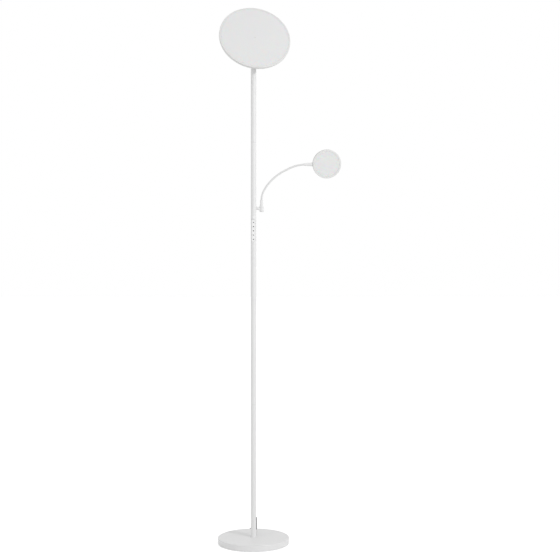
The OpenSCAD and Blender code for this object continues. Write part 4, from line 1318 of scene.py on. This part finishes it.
@dataclass
class ReadingArm(SubAssembly):
    """The bracket, the swivelling sleeve, the bendable neck and the ferrule at its end.

    Attributes:
        arm_x: Distance from the pole's axis to the swivel axis.
        yaw: Turn of the arm towards the back, in degrees.
        stub_z: Height of the bracket's stub at the pole.
        stub_r: Radius of the stub.
        stub_slope: Downward slope of the stub, in degrees.
        spigot_r: Radius of the stub's spigot in the pole's wall.
        cup_r: Radius of the bracket's cup.
        cup_h: Height of the cup.
        cup_z: Height of its underside.
        pin_r: Radius of the swivel pin.
        clip_r: Radius of the recess for the clip below the pin.
        sleeve_r: Radius of the sleeve.
        foot_r: Radius of its flared foot.
        sleeve_z: Height of the sleeve's foot.
        sleeve_top_z: Height of its top.
        neck_r: Radius of the neck.
        neck_start_z: Height where the neck starts to bend.
        link_l: Length of the neck from joint to joint.
        link_turns: How far each link bends over, in degrees.
        ring_count: Rings of the wound core that show in each link.
        ring_depth: Depth of the hollow between two rings.
        bend_half: Half of the stretch that bends at a joint.
        ferrule_l: Length of the ferrule.
        ferrule_r: Radius of its wide end.
    """

    arm_x: float = 27 * MM
    yaw: float = 6.8
    stub_z: float = 1127.5 * MM
    stub_r: float = 5.2 * MM
    stub_slope: float = 12.0
    spigot_r: float = 3.5 * MM
    cup_r: float = 7 * MM
    cup_h: float = 14.6 * MM
    cup_z: float = 1114 * MM
    pin_r: float = 3 * MM
    clip_r: float = 5 * MM
    sleeve_r: float = 5.2 * MM
    foot_r: float = 6.7 * MM
    sleeve_z: float = 1128.75 * MM
    sleeve_top_z: float = 1154.5 * MM
    neck_r: float = 3.25 * MM
    neck_start_z: float = 1153 * MM
    link_l: float = 33.9 * MM
    link_turns: tuple[float, ...] = (27.5, 13.5, 12.0, 9.0, 8.0, 17.5)
    ring_count: int = 12
    ring_depth: float = 0.09 * MM
    bend_half: float = 9 * MM
    ferrule_l: float = 28.6 * MM
    ferrule_r: float = 6.3 * MM

    def arm_frame(self) -> Matrix:
        """Give the arm's frame: z is the swivel axis and x points along the arm."""
        return shift(x=self.arm_x) @ spin_about(self.yaw, "Z")

    def line_at(self, along: float) -> tuple[float, float, float]:
        """Give the neck's centreline at a distance along it.

        Args:
            along: Distance from where the neck starts to bend. The neck is straight before that
                place and past its end.

        Returns:
            Reach from the swivel axis, height, and heading from straight up, in radians.
        """
        reach, height, heading = 0.0, self.neck_start_z, 0.0
        left = along
        if along < 0:
            return reach, height + along, heading
        for turned in self.link_turns:
            radius = self.link_l / math.radians(turned)
            run = min(left, self.link_l)
            after = heading + run / radius
            reach += radius * (math.cos(heading) - math.cos(after))
            height += radius * (math.sin(after) - math.sin(heading))
            heading, left = after, left - run
        return reach + left * math.sin(heading), height + left * math.cos(heading), heading

    def point_at(self, along: float) -> Vector:
        """Give the neck's centreline as a point in the lamp's frame."""
        reach, height, _ = self.line_at(along)
        return self.arm_frame() @ Vector((reach, 0, height))

    def neck_end_frame(self) -> Matrix:
        """Give the frame at the neck's end, whose z axis runs on along the neck."""
        reach, height, heading = self.line_at(self.link_l * len(self.link_turns))
        return self.arm_frame() @ shift(x=reach, z=height) @ Matrix.Rotation(heading, 4, "Y")

    def neck_piece(self, name: str, start: float, end: float) -> Piece:
        """Make one stretch of the neck's sleeve, with the rings of its wound core showing through.

        Args:
            name: The piece's name.
            start: Where it starts along the neck.
            end: Where it ends.

        Returns:
            The bent stretch, closed at both ends.
        """
        pitch = self.link_l / self.ring_count
        steps = round((end - start) / pitch * 4)
        outline: Points = [(0, start)]
        for i in range(steps + 1):
            along = start + (end - start) * i / steps
            hollow = (1 - math.cos(math.tau * along / pitch)) / 2
            outline.append((self.neck_r - self.ring_depth * hollow, along))
        outline.append((0, end))
        piece = smooth(turn(name, outline, 32), 60)
        for vertex in piece.data.vertices:
            reach, height, heading = self.line_at(vertex.co.z)
            lean = Matrix.Rotation(heading, 3, "Y")
            vertex.co = Vector((reach, 0, height)) + lean @ Vector((vertex.co.x, vertex.co.y, 0))
        return settle(piece, self.arm_frame())

    def build_neck(self) -> None:
        """Build the neck as stretches that meet in the middle of a link, each with one joint."""
        count = len(self.link_turns)
        bodies = ["arm"] + [f"neck_{i}" for i in range(2, count + 1)]
        kind = FinishKind.NECK_SLEEVE_PVC
        half, whole = self.link_l / 2, self.link_l * count
        in_sleeve, in_ferrule = 10 * MM, 4 * MM
        root = self.neck_piece("neck_root", -in_sleeve, half)
        self.finish_piece(root, "arm", kind, "neck_skin", ["neck_link_1"])
        for i in range(1, count):
            joint = i * self.link_l
            bend = self.neck_piece(f"neck_bend_{i}", joint - half, joint + half)
            self.palette.dress(bend, kind)
            ends = (self.point_at(joint + side) for side in (-self.bend_half, self.bend_half))
            start, end = (tuple(point) for point in ends)
            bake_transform(bend)
            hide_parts(f"neck_link_{i}", f"neck_link_{i + 1}")
            log.info("%s bends between %s and %s", bend.name, bodies[i - 1], bodies[i])
        tail = self.neck_piece("neck_tail", whole - half, whole + in_ferrule)
        self.finish_piece(tail, bodies[-1], kind, "neck_skin", [f"neck_link_{count}"])

    def build_bracket(self) -> Piece:
        """Build the bracket: a stub that slopes down from the pole to an upright cup."""
        tube_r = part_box("top_tube")[1].x
        slope = math.radians(self.stub_slope)
        end_z = self.stub_z - (self.arm_x - tube_r) * math.tan(slope)
        length = self.arm_x / math.cos(slope)
        at_cup = shift(x=self.arm_x)
        sloping = at_cup @ shift(z=end_z) @ spin_about(self.stub_slope - 90, "Y")
        stub = round_bar(self.stub_r, 0, length, sloping, 64)
        soft, edge, top = 2.5 * MM, 0.4 * MM, self.cup_z + self.cup_h
        outline: Points = [(0, self.cup_z)]
        outline += arc((self.cup_r - soft, self.cup_z + soft), soft, -90, 0, 8)
        outline += arc((self.cup_r - edge, top - edge), edge, 0, 90, 4) + [(0, top)]
        bracket = combine(settle(turn("arm_bracket_body", outline, 64), at_cup), stub, Join.ADD)
        combine(bracket, round_bar(tube_r, 1000 * MM, 1200 * MM, shift(), 128), Join.CUT)
        side = shift(z=self.stub_z) @ spin_about(90, "Y")
        spigot = round_bar(self.spigot_r, tube_r - 1.3 * MM, tube_r + 2 * MM, side)
        combine(bracket, spigot, Join.ADD)
        low, seat, bore_r = self.cup_z - MM, self.cup_z + 4.5 * MM, self.pin_r + FIT
        bore = [
            (0, low), (self.clip_r, low), (self.clip_r, seat),
            (bore_r, seat), (bore_r, top + MM), (0, top + MM),
        ]
        combine(bracket, settle(turn("bore", bore, 48), at_cup), Join.CUT)
        # What the stub has above the cup is cut off, just wider than the cup
        above = round_bar(self.cup_r + 0.1 * MM, top, top + 9 * MM, at_cup)
        combine(bracket, above, Join.CUT)
        smooth(bracket, 28)
        return self.coat(bracket, "stand", "arm_bracket")

    def build_sleeve(self) -> Piece:
        """Turn the sleeve with its flared foot, the neck's hole and the swivel pin below it."""
        foot, top, soft, lip = self.sleeve_z, self.sleeve_top_z, 0.8 * MM, 0.3 * MM
        pin_low, mouth_r, seat = self.cup_z + MM, self.neck_r + 0.6 * MM, foot + 10 * MM
        outline: Points = [
            (0, pin_low), (self.pin_r - lip, pin_low), (self.pin_r, pin_low + lip),
            (self.pin_r, foot),
        ]
        outline += arc((self.foot_r - soft, foot + soft), soft, -90, 0, 5)
        flare, flare_z, flare_l, steps = self.foot_r - self.sleeve_r, foot + 2.8 * MM, 7.2 * MM, 8
        for i in range(1, steps + 1):
            share = i / steps
            eased = (1 - math.cos(math.pi * share)) / 2
            outline.append((self.foot_r - flare * eased, flare_z + flare_l * share))
        outline += arc((self.sleeve_r - soft, top - soft), soft, 0, 90, 5)
        outline += [(mouth_r + lip, top), (mouth_r, top - lip), (mouth_r, seat), (0, seat)]
        sleeve = smooth(settle(turn("swivel_sleeve", outline, 72), self.arm_frame()))
        return self.coat(sleeve, "arm", "arm_sleeve")

    def build_ferrule(self) -> Piece:
        """Turn the tapered ferrule, with a rounded shoulder and the hole for its set screw."""
        length, small_r, soft = self.ferrule_l, self.neck_r + 0.9 * MM, 0.5 * MM
        shoulder = self.ferrule_r - soft
        taper_from, taper_to, taper_steps, swelling = 1.2 * MM, 0.82 * length, 6, 0.12
        outline: Points = [(0, 0)] + arc((small_r - soft, soft), soft, -90, -5, 4)
        for i in range(taper_steps + 1):
            share = i / taper_steps
            swollen = share + swelling * math.sin(math.pi * share)
            along = taper_from + (taper_to - taper_from) * share
            outline.append((small_r + (shoulder - small_r) * swollen, along))
        outline += [(shoulder + 0.35 * MM, 0.85 * length), (self.ferrule_r, 0.9 * length)]
        outline += arc((self.ferrule_r - soft, length - soft), soft, 0, 90, 4) + [(0, length)]
        ferrule = turn("tapered_ferrule", outline, 72)
        screw_r, screw_l, across = 1.55 * MM, 9 * MM, shift(z=length - 7 * MM) @ spin_about(90, "Y")
        combine(ferrule, round_bar(screw_r, 0, screw_l, across, 32), Join.CUT)
        smooth(settle(ferrule, self.neck_end_frame()))
        return self.coat(ferrule, "neck_6", "neck_ferrule")

    def build(self) -> None:
        """Build the arm from the pole outwards."""
        self.build_bracket()
        self.build_sleeve()
        self.build_neck()
        self.build_ferrule()


@dataclass
class ReadingLight(SubAssembly):
    """The small round reading light: housing, front ring and diffuser.

    Attributes:
        arm: The arm that carries it.
        radius: Its radius.
        thick: Its thickness.
        roll: Its downward turn about the stem, in degrees.
        gap: Gap between the ferrule and the rim.
        wall: Wall of the housing.
        ring_h: Height of the front ring.
        ring_w: Width of the front ring.
        recess: How far the diffuser lies behind the ring.
        lens_t: Thickness of the diffuser.
        pin_r: Radius of the stem's pin.
        pin_l: Length of the pin.
    """

    arm: ReadingArm
    radius: float = 48.7 * MM
    thick: float = 16 * MM
    roll: float = 14.0
    gap: float = 0.5 * MM
    wall: float = 1.5 * MM
    ring_h: float = 2 * MM
    ring_w: float = 6.6 * MM
    recess: float = 0.5 * MM
    lens_t: float = 1.6 * MM
    pin_r: float = 2.5 * MM
    pin_l: float = 15 * MM

    def frame(self) -> Matrix:
        """Give the light's frame: z points the way it shines, from its back face."""
        out = self.arm.ferrule_l + self.gap + self.radius
        middle = self.arm.neck_end_frame() @ spin_about(-90, "Y") @ shift(x=out)
        return middle @ spin_about(90 + self.roll, "X") @ shift(z=-self.thick / 2)

    def build_housing(self) -> Piece:
        """Turn the housing with its soft back edge and a fine groove round it, and add the stem."""
        body_t, soft, edge = self.thick - self.ring_h, 4 * MM, 0.3 * MM
        in_r, in_soft = self.radius - self.wall, 2.5 * MM
        outline: Points = [(0, 0)] + groove(0.74 * self.radius, 1.4 * MM, 0.5 * MM)
        outline += arc((self.radius - soft, soft), soft, -90, 0, 12)
        outline += [(self.radius, body_t - edge), (self.radius - edge, body_t), (in_r, body_t)]
        outline += arc((in_r - in_soft, self.wall + in_soft), in_soft, 0, -90, 8) + [(0, self.wall)]
        housing = turn("reading_shell", outline, 160)
        start, end, tip = -self.gap - self.pin_l, 3 * MM, 0.5 * MM
        pin = [
            (0, start), (self.pin_r - tip, start), (self.pin_r, start + tip), (self.pin_r, end),
            (0, end),
        ]
        inwards = shift(x=-self.radius, z=self.thick / 2) @ spin_about(90, "Y")
        combine(housing, settle(turn("stem", pin, 40), inwards), Join.ADD)
        smooth(settle(housing, self.frame()))
        kind, nodes = FinishKind.WHITE_ABS, ["reading_housing"]
        return self.finish_piece(housing, "reading_light", kind, "white_plastic", nodes)

    def build_ring(self) -> Piece:
        """Turn the front ring: a crowned band with a chamfered lip over the diffuser's edge."""
        soft, crown, bevel, grip = 0.8 * MM, 0.4 * MM, 0.6 * MM, MM
        body_t, in_r = self.thick - self.ring_h, self.radius - self.ring_w
        lip_z = self.thick - self.recess - 0.5 * MM
        skirt_z = self.thick - self.recess - self.lens_t - grip
        skirt_r = self.radius - self.wall - 0.1 * MM
        outline: Points = [
            (self.radius - 0.3 * MM, body_t), (self.radius, body_t + 0.3 * MM),
        ]
        outline += arc((self.radius - soft, self.thick - crown - soft), soft, 0, 62, 6)
        outline += [
            (self.radius - 0.26 * self.ring_w, self.thick - 0.12 * MM),
            (self.radius - 0.45 * self.ring_w, self.thick), (in_r + bevel, self.thick),
            (in_r + 0.1 * MM, self.thick - bevel / 2), (in_r, self.thick - bevel / 2 - 0.1 * MM),
            (in_r, lip_z), (in_r + grip, lip_z), (in_r + grip, skirt_z), (skirt_r, skirt_z),
            (skirt_r, body_t),
        ]
        ring = smooth(settle(turn("reading_front_ring", outline, 160), self.frame()), 24)
        kind = FinishKind.WHITE_ABS
        return self.finish_piece(ring, "reading_light", kind, "white_plastic", ["reading_ring"])

    def build_lens(self) -> Piece:
        """Turn the opal diffuser, which is stepped to sit behind the ring's lip."""
        top = self.thick - self.recess
        low, lip = top - self.lens_t, top - 0.6 * MM
        face_r = self.radius - self.ring_w - 0.1 * MM
        edge_r = face_r + MM
        outline: Points = [
            (0, low), (edge_r, low), (edge_r, lip), (face_r, lip), (face_r, top - 0.25 * MM),
            (face_r - 0.25 * MM, top), (0.5 * face_r, top), (0, top),
        ]
        lens = smooth(settle(turn("reading_diffuser", outline, 160), self.frame()))
        kind = FinishKind.OPAL_ACRYLIC
        return self.finish_piece(lens, "reading_light", kind, "opal_plastic", ["reading_lens"])

    def build(self) -> None:
        """Build the reading light's visible pieces."""
        self.build_housing()
        self.build_ring()
        self.build_lens()


# The head


@dataclass
class LightDisc(SubAssembly):
    """The large light disc with its hub.

    Attributes:
        pan: Turn to the right, in degrees.
        tilt: Upward tilt, in degrees.
        tilt_z: Height of the tilt axis.
        tilt_back: Distance from the tilt axis to the disc's back.
        radius: Radius of the disc.
        thick: Its thickness.
        rim_wall: Wall of the outer ring.
        lip_w: Width of the ring's front lip.
        lip_t: Thickness of that lip.
        ledge_w: Width of the ring's inner ledge.
        back_t: Thickness of the back sheet.
        face_recess: How far the diffuser's face lies behind the ring's front.
        diffuser_t: Thickness of the diffuser.
        hub_r: Radius of the hub.
        hub_h: Height of the hub.
        hub_wall: Wall of the hub.
        lug_t: Thickness of the hinge lug.
        lug_r: Radius of its rounded end.
        pin_r: Radius of the tilt pin.
        screw_count: Screws round the back.
        screw_at: Radius of their circle.
        centre_r: Radius of the pin at the disc's centre.
    """

    pan: float = 11.8
    tilt: float = 23.4
    tilt_z: float = 1683 * MM
    tilt_back: float = 21.5 * MM
    radius: float = 120.4 * MM
    thick: float = 9.6 * MM
    rim_wall: float = 1.6 * MM
    lip_w: float = 5.6 * MM
    lip_t: float = 1 * MM
    ledge_w: float = 7 * MM
    back_t: float = 1.2 * MM
    face_recess: float = 0.4 * MM
    diffuser_t: float = 2.4 * MM
    hub_r: float = 32 * MM
    hub_h: float = 8 * MM
    hub_wall: float = 1.8 * MM
    lug_t: float = 8 * MM
    lug_r: float = 7.5 * MM
    pin_r: float = 2.5 * MM
    screw_count: int = 8
    screw_at: float = 115.3 * MM
    centre_r: float = 1.2 * MM

    def tilt_frame(self) -> Matrix:
        """Give the frame on the tilt axis, whose x axis lies along the tilt pin."""
        return shift(z=self.tilt_z) @ spin_about(self.pan, "Z")

    def frame(self) -> Matrix:
        """Give the disc's frame: z points the way it shines, from its back face."""
        return self.tilt_frame() @ spin_about(90 - self.tilt, "X") @ shift(z=self.tilt_back)

    def build_rim(self) -> Piece:
        """Turn the outer ring: rounded outside, with a chamfered front lip and an inner ledge."""
        soft, bevel = 1.2 * MM, 0.35 * MM
        in_r, lip_r = self.radius - self.rim_wall, self.radius - self.lip_w
        ledge_r, ledge_top = in_r - self.ledge_w, self.back_t + 2 * MM
        lip_z = self.thick - self.lip_t
        outline: Points = [(in_r, 0)]
        outline += arc((self.radius - soft, soft), soft, -90, 0, 6)
        outline += arc((self.radius - soft, self.thick - soft), soft, 0, 90, 6)
        outline += [
            (lip_r + bevel, self.thick), (lip_r, self.thick - bevel), (lip_r, lip_z), (in_r, lip_z),
            (in_r, ledge_top), (ledge_r, ledge_top), (ledge_r, self.back_t), (in_r, self.back_t),
        ]
        rim = smooth(settle(turn("disc_outer_ring", outline, 256), self.frame()))
        kind = FinishKind.WHITE_ABS
        return self.finish_piece(rim, "light_disc", kind, "white_plastic", ["disc_rim"])

    def build_diffuser(self) -> Piece:
        """Turn the opal diffuser with its stepped edge and the hole for the centre pin."""
        face = self.thick - self.face_recess
        low, step_z = face - self.diffuser_t, self.thick - self.lip_t - 0.1 * MM
        edge_r, step_r = self.radius - self.rim_wall - 0.2 * MM, self.radius - self.lip_w - 0.2 * MM
        hole_r, soft = self.centre_r + FIT, 0.2 * MM
        outline = [
            (hole_r, low), (edge_r, low), (edge_r, step_z), (step_r, step_z), (step_r, face - soft),
            (step_r - soft, face), (0.5 * step_r, face), (hole_r, face),
        ]
        face_sheet = smooth(settle(turn("disc_face", outline, 256), self.frame()))
        kind = FinishKind.OPAL_ACRYLIC
        return self.finish_piece(face_sheet, "light_disc", kind, "opal_plastic", ["disc_diffuser"])

    def build_back(self) -> Piece:
        """Press the back sheet, with two stiffening grooves round it."""
        out_r = self.radius - self.rim_wall - 0.1 * MM
        outline: Points = [(self.centre_r + FIT, 0)]
        for at in (self.hub_r + 14 * MM, 0.8 * out_r):
            outline += groove(at, 1.6 * MM, 0.45 * MM)
        outline += [(out_r - 0.2 * MM, 0), (out_r, 0.2 * MM), (out_r, self.back_t)]
        outline += [(self.centre_r + FIT, self.back_t)]
        sheet = smooth(settle(turn("disc_back_sheet", outline, 256), self.frame()), 20)
        kind = FinishKind.PAINTED_ALUMINIUM
        return self.finish_piece(sheet, "light_disc", kind, "back_aluminium", ["disc_back"])

    def build_hub(self) -> Piece:
        """Mould the hub: a round shell with a hinge lug and a row of cooling slots on each side."""
        soft, in_soft = 3 * MM, 1.2 * MM
        in_r, floor = self.hub_r - self.hub_wall, self.hub_wall - self.hub_h
        outline: Points = [(0, -self.hub_h)]
        outline += arc((self.hub_r - soft, soft - self.hub_h), soft, -90, 0, 10)
        outline += [(self.hub_r, 0), (in_r, 0)]
        outline += arc((in_r - in_soft, floor + in_soft), in_soft, 0, -90, 5) + [(0, floor)]
        hub = turn("disc_hub_shell", outline, 128)
        lug = slab(
            "lug", self.lug_t, 2 * self.lug_r, 0, -self.tilt_back, -self.hub_h + self.hub_wall / 2
        )
        across = shift(z=-self.tilt_back) @ spin_about(90, "Y")
        half = self.lug_t / 2
        combine(lug, round_bar(self.lug_r, -half, half, across, 64), Join.ADD)
        combine(hub, lug, Join.ADD)
        combine(hub, round_bar(self.pin_r + FIT, -self.lug_t, self.lug_t, across, 40), Join.CUT)
        slot_w, slot_l, slot_d, pitch = 1.8 * MM, 11 * MM, 0.8 * MM, 4.2 * MM
        for row_y in (-17.5 * MM, 17.5 * MM):
            for i in range(-2, 3):
                slot = slab(
                    "slot", slot_w, slot_l, 0.45 * slot_w, -self.hub_h - MM, slot_d - self.hub_h
                )
                combine(hub, settle(slot, shift(x=i * pitch, y=row_y)), Join.CUT)
        smooth(settle(hub, self.frame()))
        kind = FinishKind.WHITE_ABS
        return self.finish_piece(hub, "light_disc", kind, "white_plastic", ["disc_hub"])

    def pan_screw(self, head_r: float, head_t: float, shank_l: float) -> Piece:
        """Turn one screw with a domed head and a cross recess, its head pointing along -z.

        Args:
            head_r: Radius of the head.
            head_t: Height of the head.
            shank_l: Length of the shank.

        Returns:
            The screw, with the head's seat at the origin.
        """
        shank_r = 1.25 * MM
        outline: Points = [
            (0, -head_t), (0.45 * head_r, -0.97 * head_t), (0.8 * head_r, -0.75 * head_t),
            (0.97 * head_r, -0.35 * head_t), (head_r, -0.1 * head_t), (head_r, 0), (shank_r, 0),
            (shank_r, shank_l), (0, shank_l),
        ]
        screw = turn("screw", outline, 32)
        for angle in (0, 90):
            bar = slab("bar", 0.5 * MM, 1.25 * head_r, 0, -head_t - MM, -0.4 * head_t)
            combine(screw, settle(bar, spin_about(angle, "Z")), Join.CUT)
        return screw

    def build_screws(self) -> Piece:
        """Copy the screws to their places in the back sheet and inside the hub."""
        outer = copies(
            self.pan_screw(2.2 * MM, 0.8 * MM, 3 * MM),
            round_about(self.screw_count, self.screw_at, 180 / self.screw_count),
        )
        seat = shift(z=self.back_t) @ spin_about(180, "X")
        inner = copies(
            self.pan_screw(2.8 * MM, 1.4 * MM, 6.5 * MM),
            [place @ seat for place in round_about(3, self.hub_r - 7 * MM, 90)],
        )
        screws = merge_pieces("disc_screw_set", outer + inner)
        smooth(settle(screws, self.frame()))
        kind = FinishKind.ZINC_PLATE
        return self.finish_piece(screws, "light_disc", kind, "steel", ["disc_screws"])

    def build_centre_pin(self) -> Piece:
        """Turn the small pin that holds the diffuser at its centre."""
        face, foot_t, cap_t = self.thick - self.face_recess, 1.2 * MM, 0.3 * MM
        foot_r, cap_r = self.centre_r + 0.8 * MM, self.centre_r + 0.5 * MM
        outline: Points = [
            (0, -foot_t), (foot_r - 0.3 * MM, -foot_t), (foot_r, 0.3 * MM - foot_t), (foot_r, 0),
            (self.centre_r, 0), (self.centre_r, face), (cap_r, face),
        ]
        # Shares of the cap's radius and height
        for out, up in ((1, 0.4), (0.7, 0.85), (0, 1)):
            outline.append((out * cap_r, face + up * cap_t))
        pin = smooth(settle(turn("disc_centre_pin", outline, 32), self.frame()))
        kind = FinishKind.NATURAL_NYLON
        return self.finish_piece(pin, "light_disc", kind, "white_plastic", ["disc_pin"])

    def build(self) -> None:
        """Build the disc's visible pieces."""
        self.build_rim()
        self.build_diffuser()
        self.build_back()
        self.build_hub()
        self.build_screws()
        self.build_centre_pin()


@dataclass
class Swivel(SubAssembly):
    """The bush in the pole's top, and the yoke with its friction hinge.

    Attributes:
        disc: The light disc that it carries.
        flange_t: Thickness of the yoke's flange.
        flange_gap: Gap between the bush and that flange.
        bush_t: Thickness of the bush's flange.
        cheek_in: Distance from the middle to the inside of a cheek.
        cheek_t: Thickness of a cheek.
        stem_r: Radius of the stem in the pole.
    """

    disc: LightDisc
    flange_t: float = 4 * MM
    flange_gap: float = 0.2 * MM
    bush_t: float = 3 * MM
    cheek_in: float = 4.8 * MM
    cheek_t: float = 3.2 * MM
    stem_r: float = 4.8 * MM

    def build_bush(self) -> Piece:
        """Turn the nylon bush, whose flange shows between the pole and the yoke."""
        low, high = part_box("top_bush")
        radius, bore = high.x, self.stem_r + FIT
        plug_r, soft, flange_z = radius - 1.55 * MM, 0.3 * MM, high.z - self.bush_t
        outline = [
            (bore, low.z), (plug_r - soft, low.z), (plug_r, low.z + soft), (plug_r, flange_z),
            (radius - soft, flange_z), (radius, flange_z + soft), (radius, high.z - soft),
            (radius - soft, high.z), (bore, high.z),
        ]
        bush = smooth(turn("pole_top_bush", outline, 72))
        kind = FinishKind.NATURAL_NYLON
        return self.finish_piece(bush, "stand", kind, "bush_nylon", ["top_bush"])

    def build_yoke(self) -> Piece:
        """Build the yoke: a stem, a flange and two round-ended cheeks, as wide as the pole."""
        low_z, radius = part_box("yoke")[0].z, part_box("top_tube")[1].x
        flange_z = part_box("top_bush")[1].z + self.flange_gap
        top, soft = flange_z + self.flange_t, 0.4 * MM
        outline = [
            (0, low_z), (self.stem_r - soft, low_z), (self.stem_r, low_z + soft),
            (self.stem_r, flange_z), (radius - soft, flange_z), (radius, flange_z + soft),
            (radius, top - soft), (radius - soft, top), (0, top),
        ]
        yoke = turn("pivot_yoke", outline, 96)
        disc, drop = self.disc, top - self.disc.tilt_z - MM
        outside, across = self.cheek_in + self.cheek_t, spin_about(90, "Y")
        cheeks = []
        for side in (0, 180):
            cheek = slab("cheek", self.cheek_t, 2 * disc.lug_r, 0, drop, 0)
            settle(cheek, shift(x=self.cheek_in + self.cheek_t / 2))
            combine(cheek, round_bar(disc.lug_r, self.cheek_in, outside, across, 64), Join.ADD)
            combine(cheek, round_bar(disc.pin_r + FIT, 0, radius, across, 40), Join.CUT)
            cheeks.append(settle(cheek, spin_about(side, "Z")))
        fork = merge_pieces("fork", cheeks)
        room = round_bar(radius - soft, drop - MM, disc.lug_r + MM, shift(), 96)
        combine(fork, room, Join.COMMON)
        combine(yoke, settle(fork, disc.tilt_frame()), Join.ADD)
        smooth(yoke)
        return self.coat(yoke, "swivel", "yoke")

    def build_hinge(self) -> None:
        """Turn the tilt pin with its socket head and the domed nut on its far end."""
        disc, outside, soft = self.disc, self.cheek_in + self.cheek_t, 0.4 * MM
        across = disc.tilt_frame() @ spin_about(90, "Y")
        head_r, head_t, thread_l = disc.pin_r + 1.6 * MM, 2.6 * MM, 3.5 * MM
        face = -outside - head_t
        head: Points = [
            (0, face), (head_r - MM, face), (head_r - 0.3 * MM, face + 0.4 * MM),
            (head_r, face + MM), (head_r, -outside), (disc.pin_r, -outside),
            (disc.pin_r, outside + thread_l - soft), (disc.pin_r - soft, outside + thread_l),
            (0, outside + thread_l),
        ]
        pin = turn("hinge_pin", head, 48)
        bpy.ops.mesh.primitive_cylinder_add(
            vertices=6, radius=1.7 * MM, depth=3 * MM, location=(0, 0, face)
        )
        combine(pin, bpy.context.object, Join.CUT)
        smooth(settle(pin, across))
        self.finish_piece(pin, "swivel", FinishKind.ZINC_PLATE, "steel", ["tilt_pin"])
        body_z = outside + 2.6 * MM
        cap_t = 1.4 * MM
        nut: Points = [
            (disc.pin_r + FIT, outside), (head_r, outside), (head_r, body_z),
            (head_r - 0.3 * cap_t, body_z + 0.6 * cap_t), (head_r - cap_t, body_z + cap_t),
            (0, body_z + cap_t),
            (0, outside + thread_l + FIT), (disc.pin_r + FIT, outside + thread_l + FIT),
        ]
        dome = smooth(settle(turn("hinge_nut", nut, 48), across))
        self.finish_piece(dome, "swivel", FinishKind.ZINC_PLATE, "steel", ["tilt_nut"])

    def build(self) -> None:
        """Build the swivel from the pole upwards."""
        self.build_bush()
        self.build_yoke()
        self.build_hinge()


# Inner parts


class InnerParts:
    """The CAD nodes whose shape is right as it is, and which only get a finish."""

    FINISHES: dict[FinishKind, tuple[str, ...]] = {
        FinishKind.EVA_FOAM: ("base_pad",),
        FinishKind.CAST_IRON: ("base_weight",),
        FinishKind.ZINC_PLATE: (
            "anchor_bolt", "anchor_washer", "foot_plug", "tube_couplers", "middle_coupler",
            "swivel_clip", "pan_clip", "ferrule_screw", "reading_screws",
        ),
        FinishKind.BLACK_PVC: ("pole_wire",),
        FinishKind.GREEN_BOARD: ("control_board", "disc_driver"),
        FinishKind.SWITCH_PHENOLIC: ("tact_switches",),
        FinishKind.WHITE_BOARD: ("reading_board",),
        FinishKind.FRICTION_FIBRE: ("tilt_washers",),
        FinishKind.REFLECTOR_PET: ("disc_reflector",),
        FinishKind.GUIDE_ACRYLIC: ("disc_guide",),
        FinishKind.PHOSPHOR_STRIP: ("disc_led_ring",),
    }

    def __init__(self, palette: Palette, nodes: dict[str, Piece]) -> None:
        """Keep the lamp's finishes and the frame's CAD nodes by name."""
        self.palette = palette
        self.nodes = nodes

    def build(self) -> None:
        """Dress each node."""
        for kind, names in self.FINISHES.items():
            for name in names:
                self.palette.dress_node(self.nodes[name], kind)
                log.info("%s keeps its CAD shape in %s", name, kind.value.name)


def main() -> None:
    """Load the frame and build the lamp's parts in order."""
    logging.basicConfig(level=logging.INFO, format="%(message)s")
    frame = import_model()
    studio = Studio()
    studio.add_camera()
    palette = Palette()
    SupplyLead(palette).build()
    Base(palette).build()
    Pole(palette).build()
    ControlStrip(palette).build()
    arm = ReadingArm(palette)
    arm.build()
    ReadingLight(palette, arm).build()
    disc = LightDisc(palette)
    disc.build()
    Swivel(palette, disc).build()
    InnerParts(palette, frame["nodes"]).build()
    studio.build()


if __name__ == "__main__":
    main()
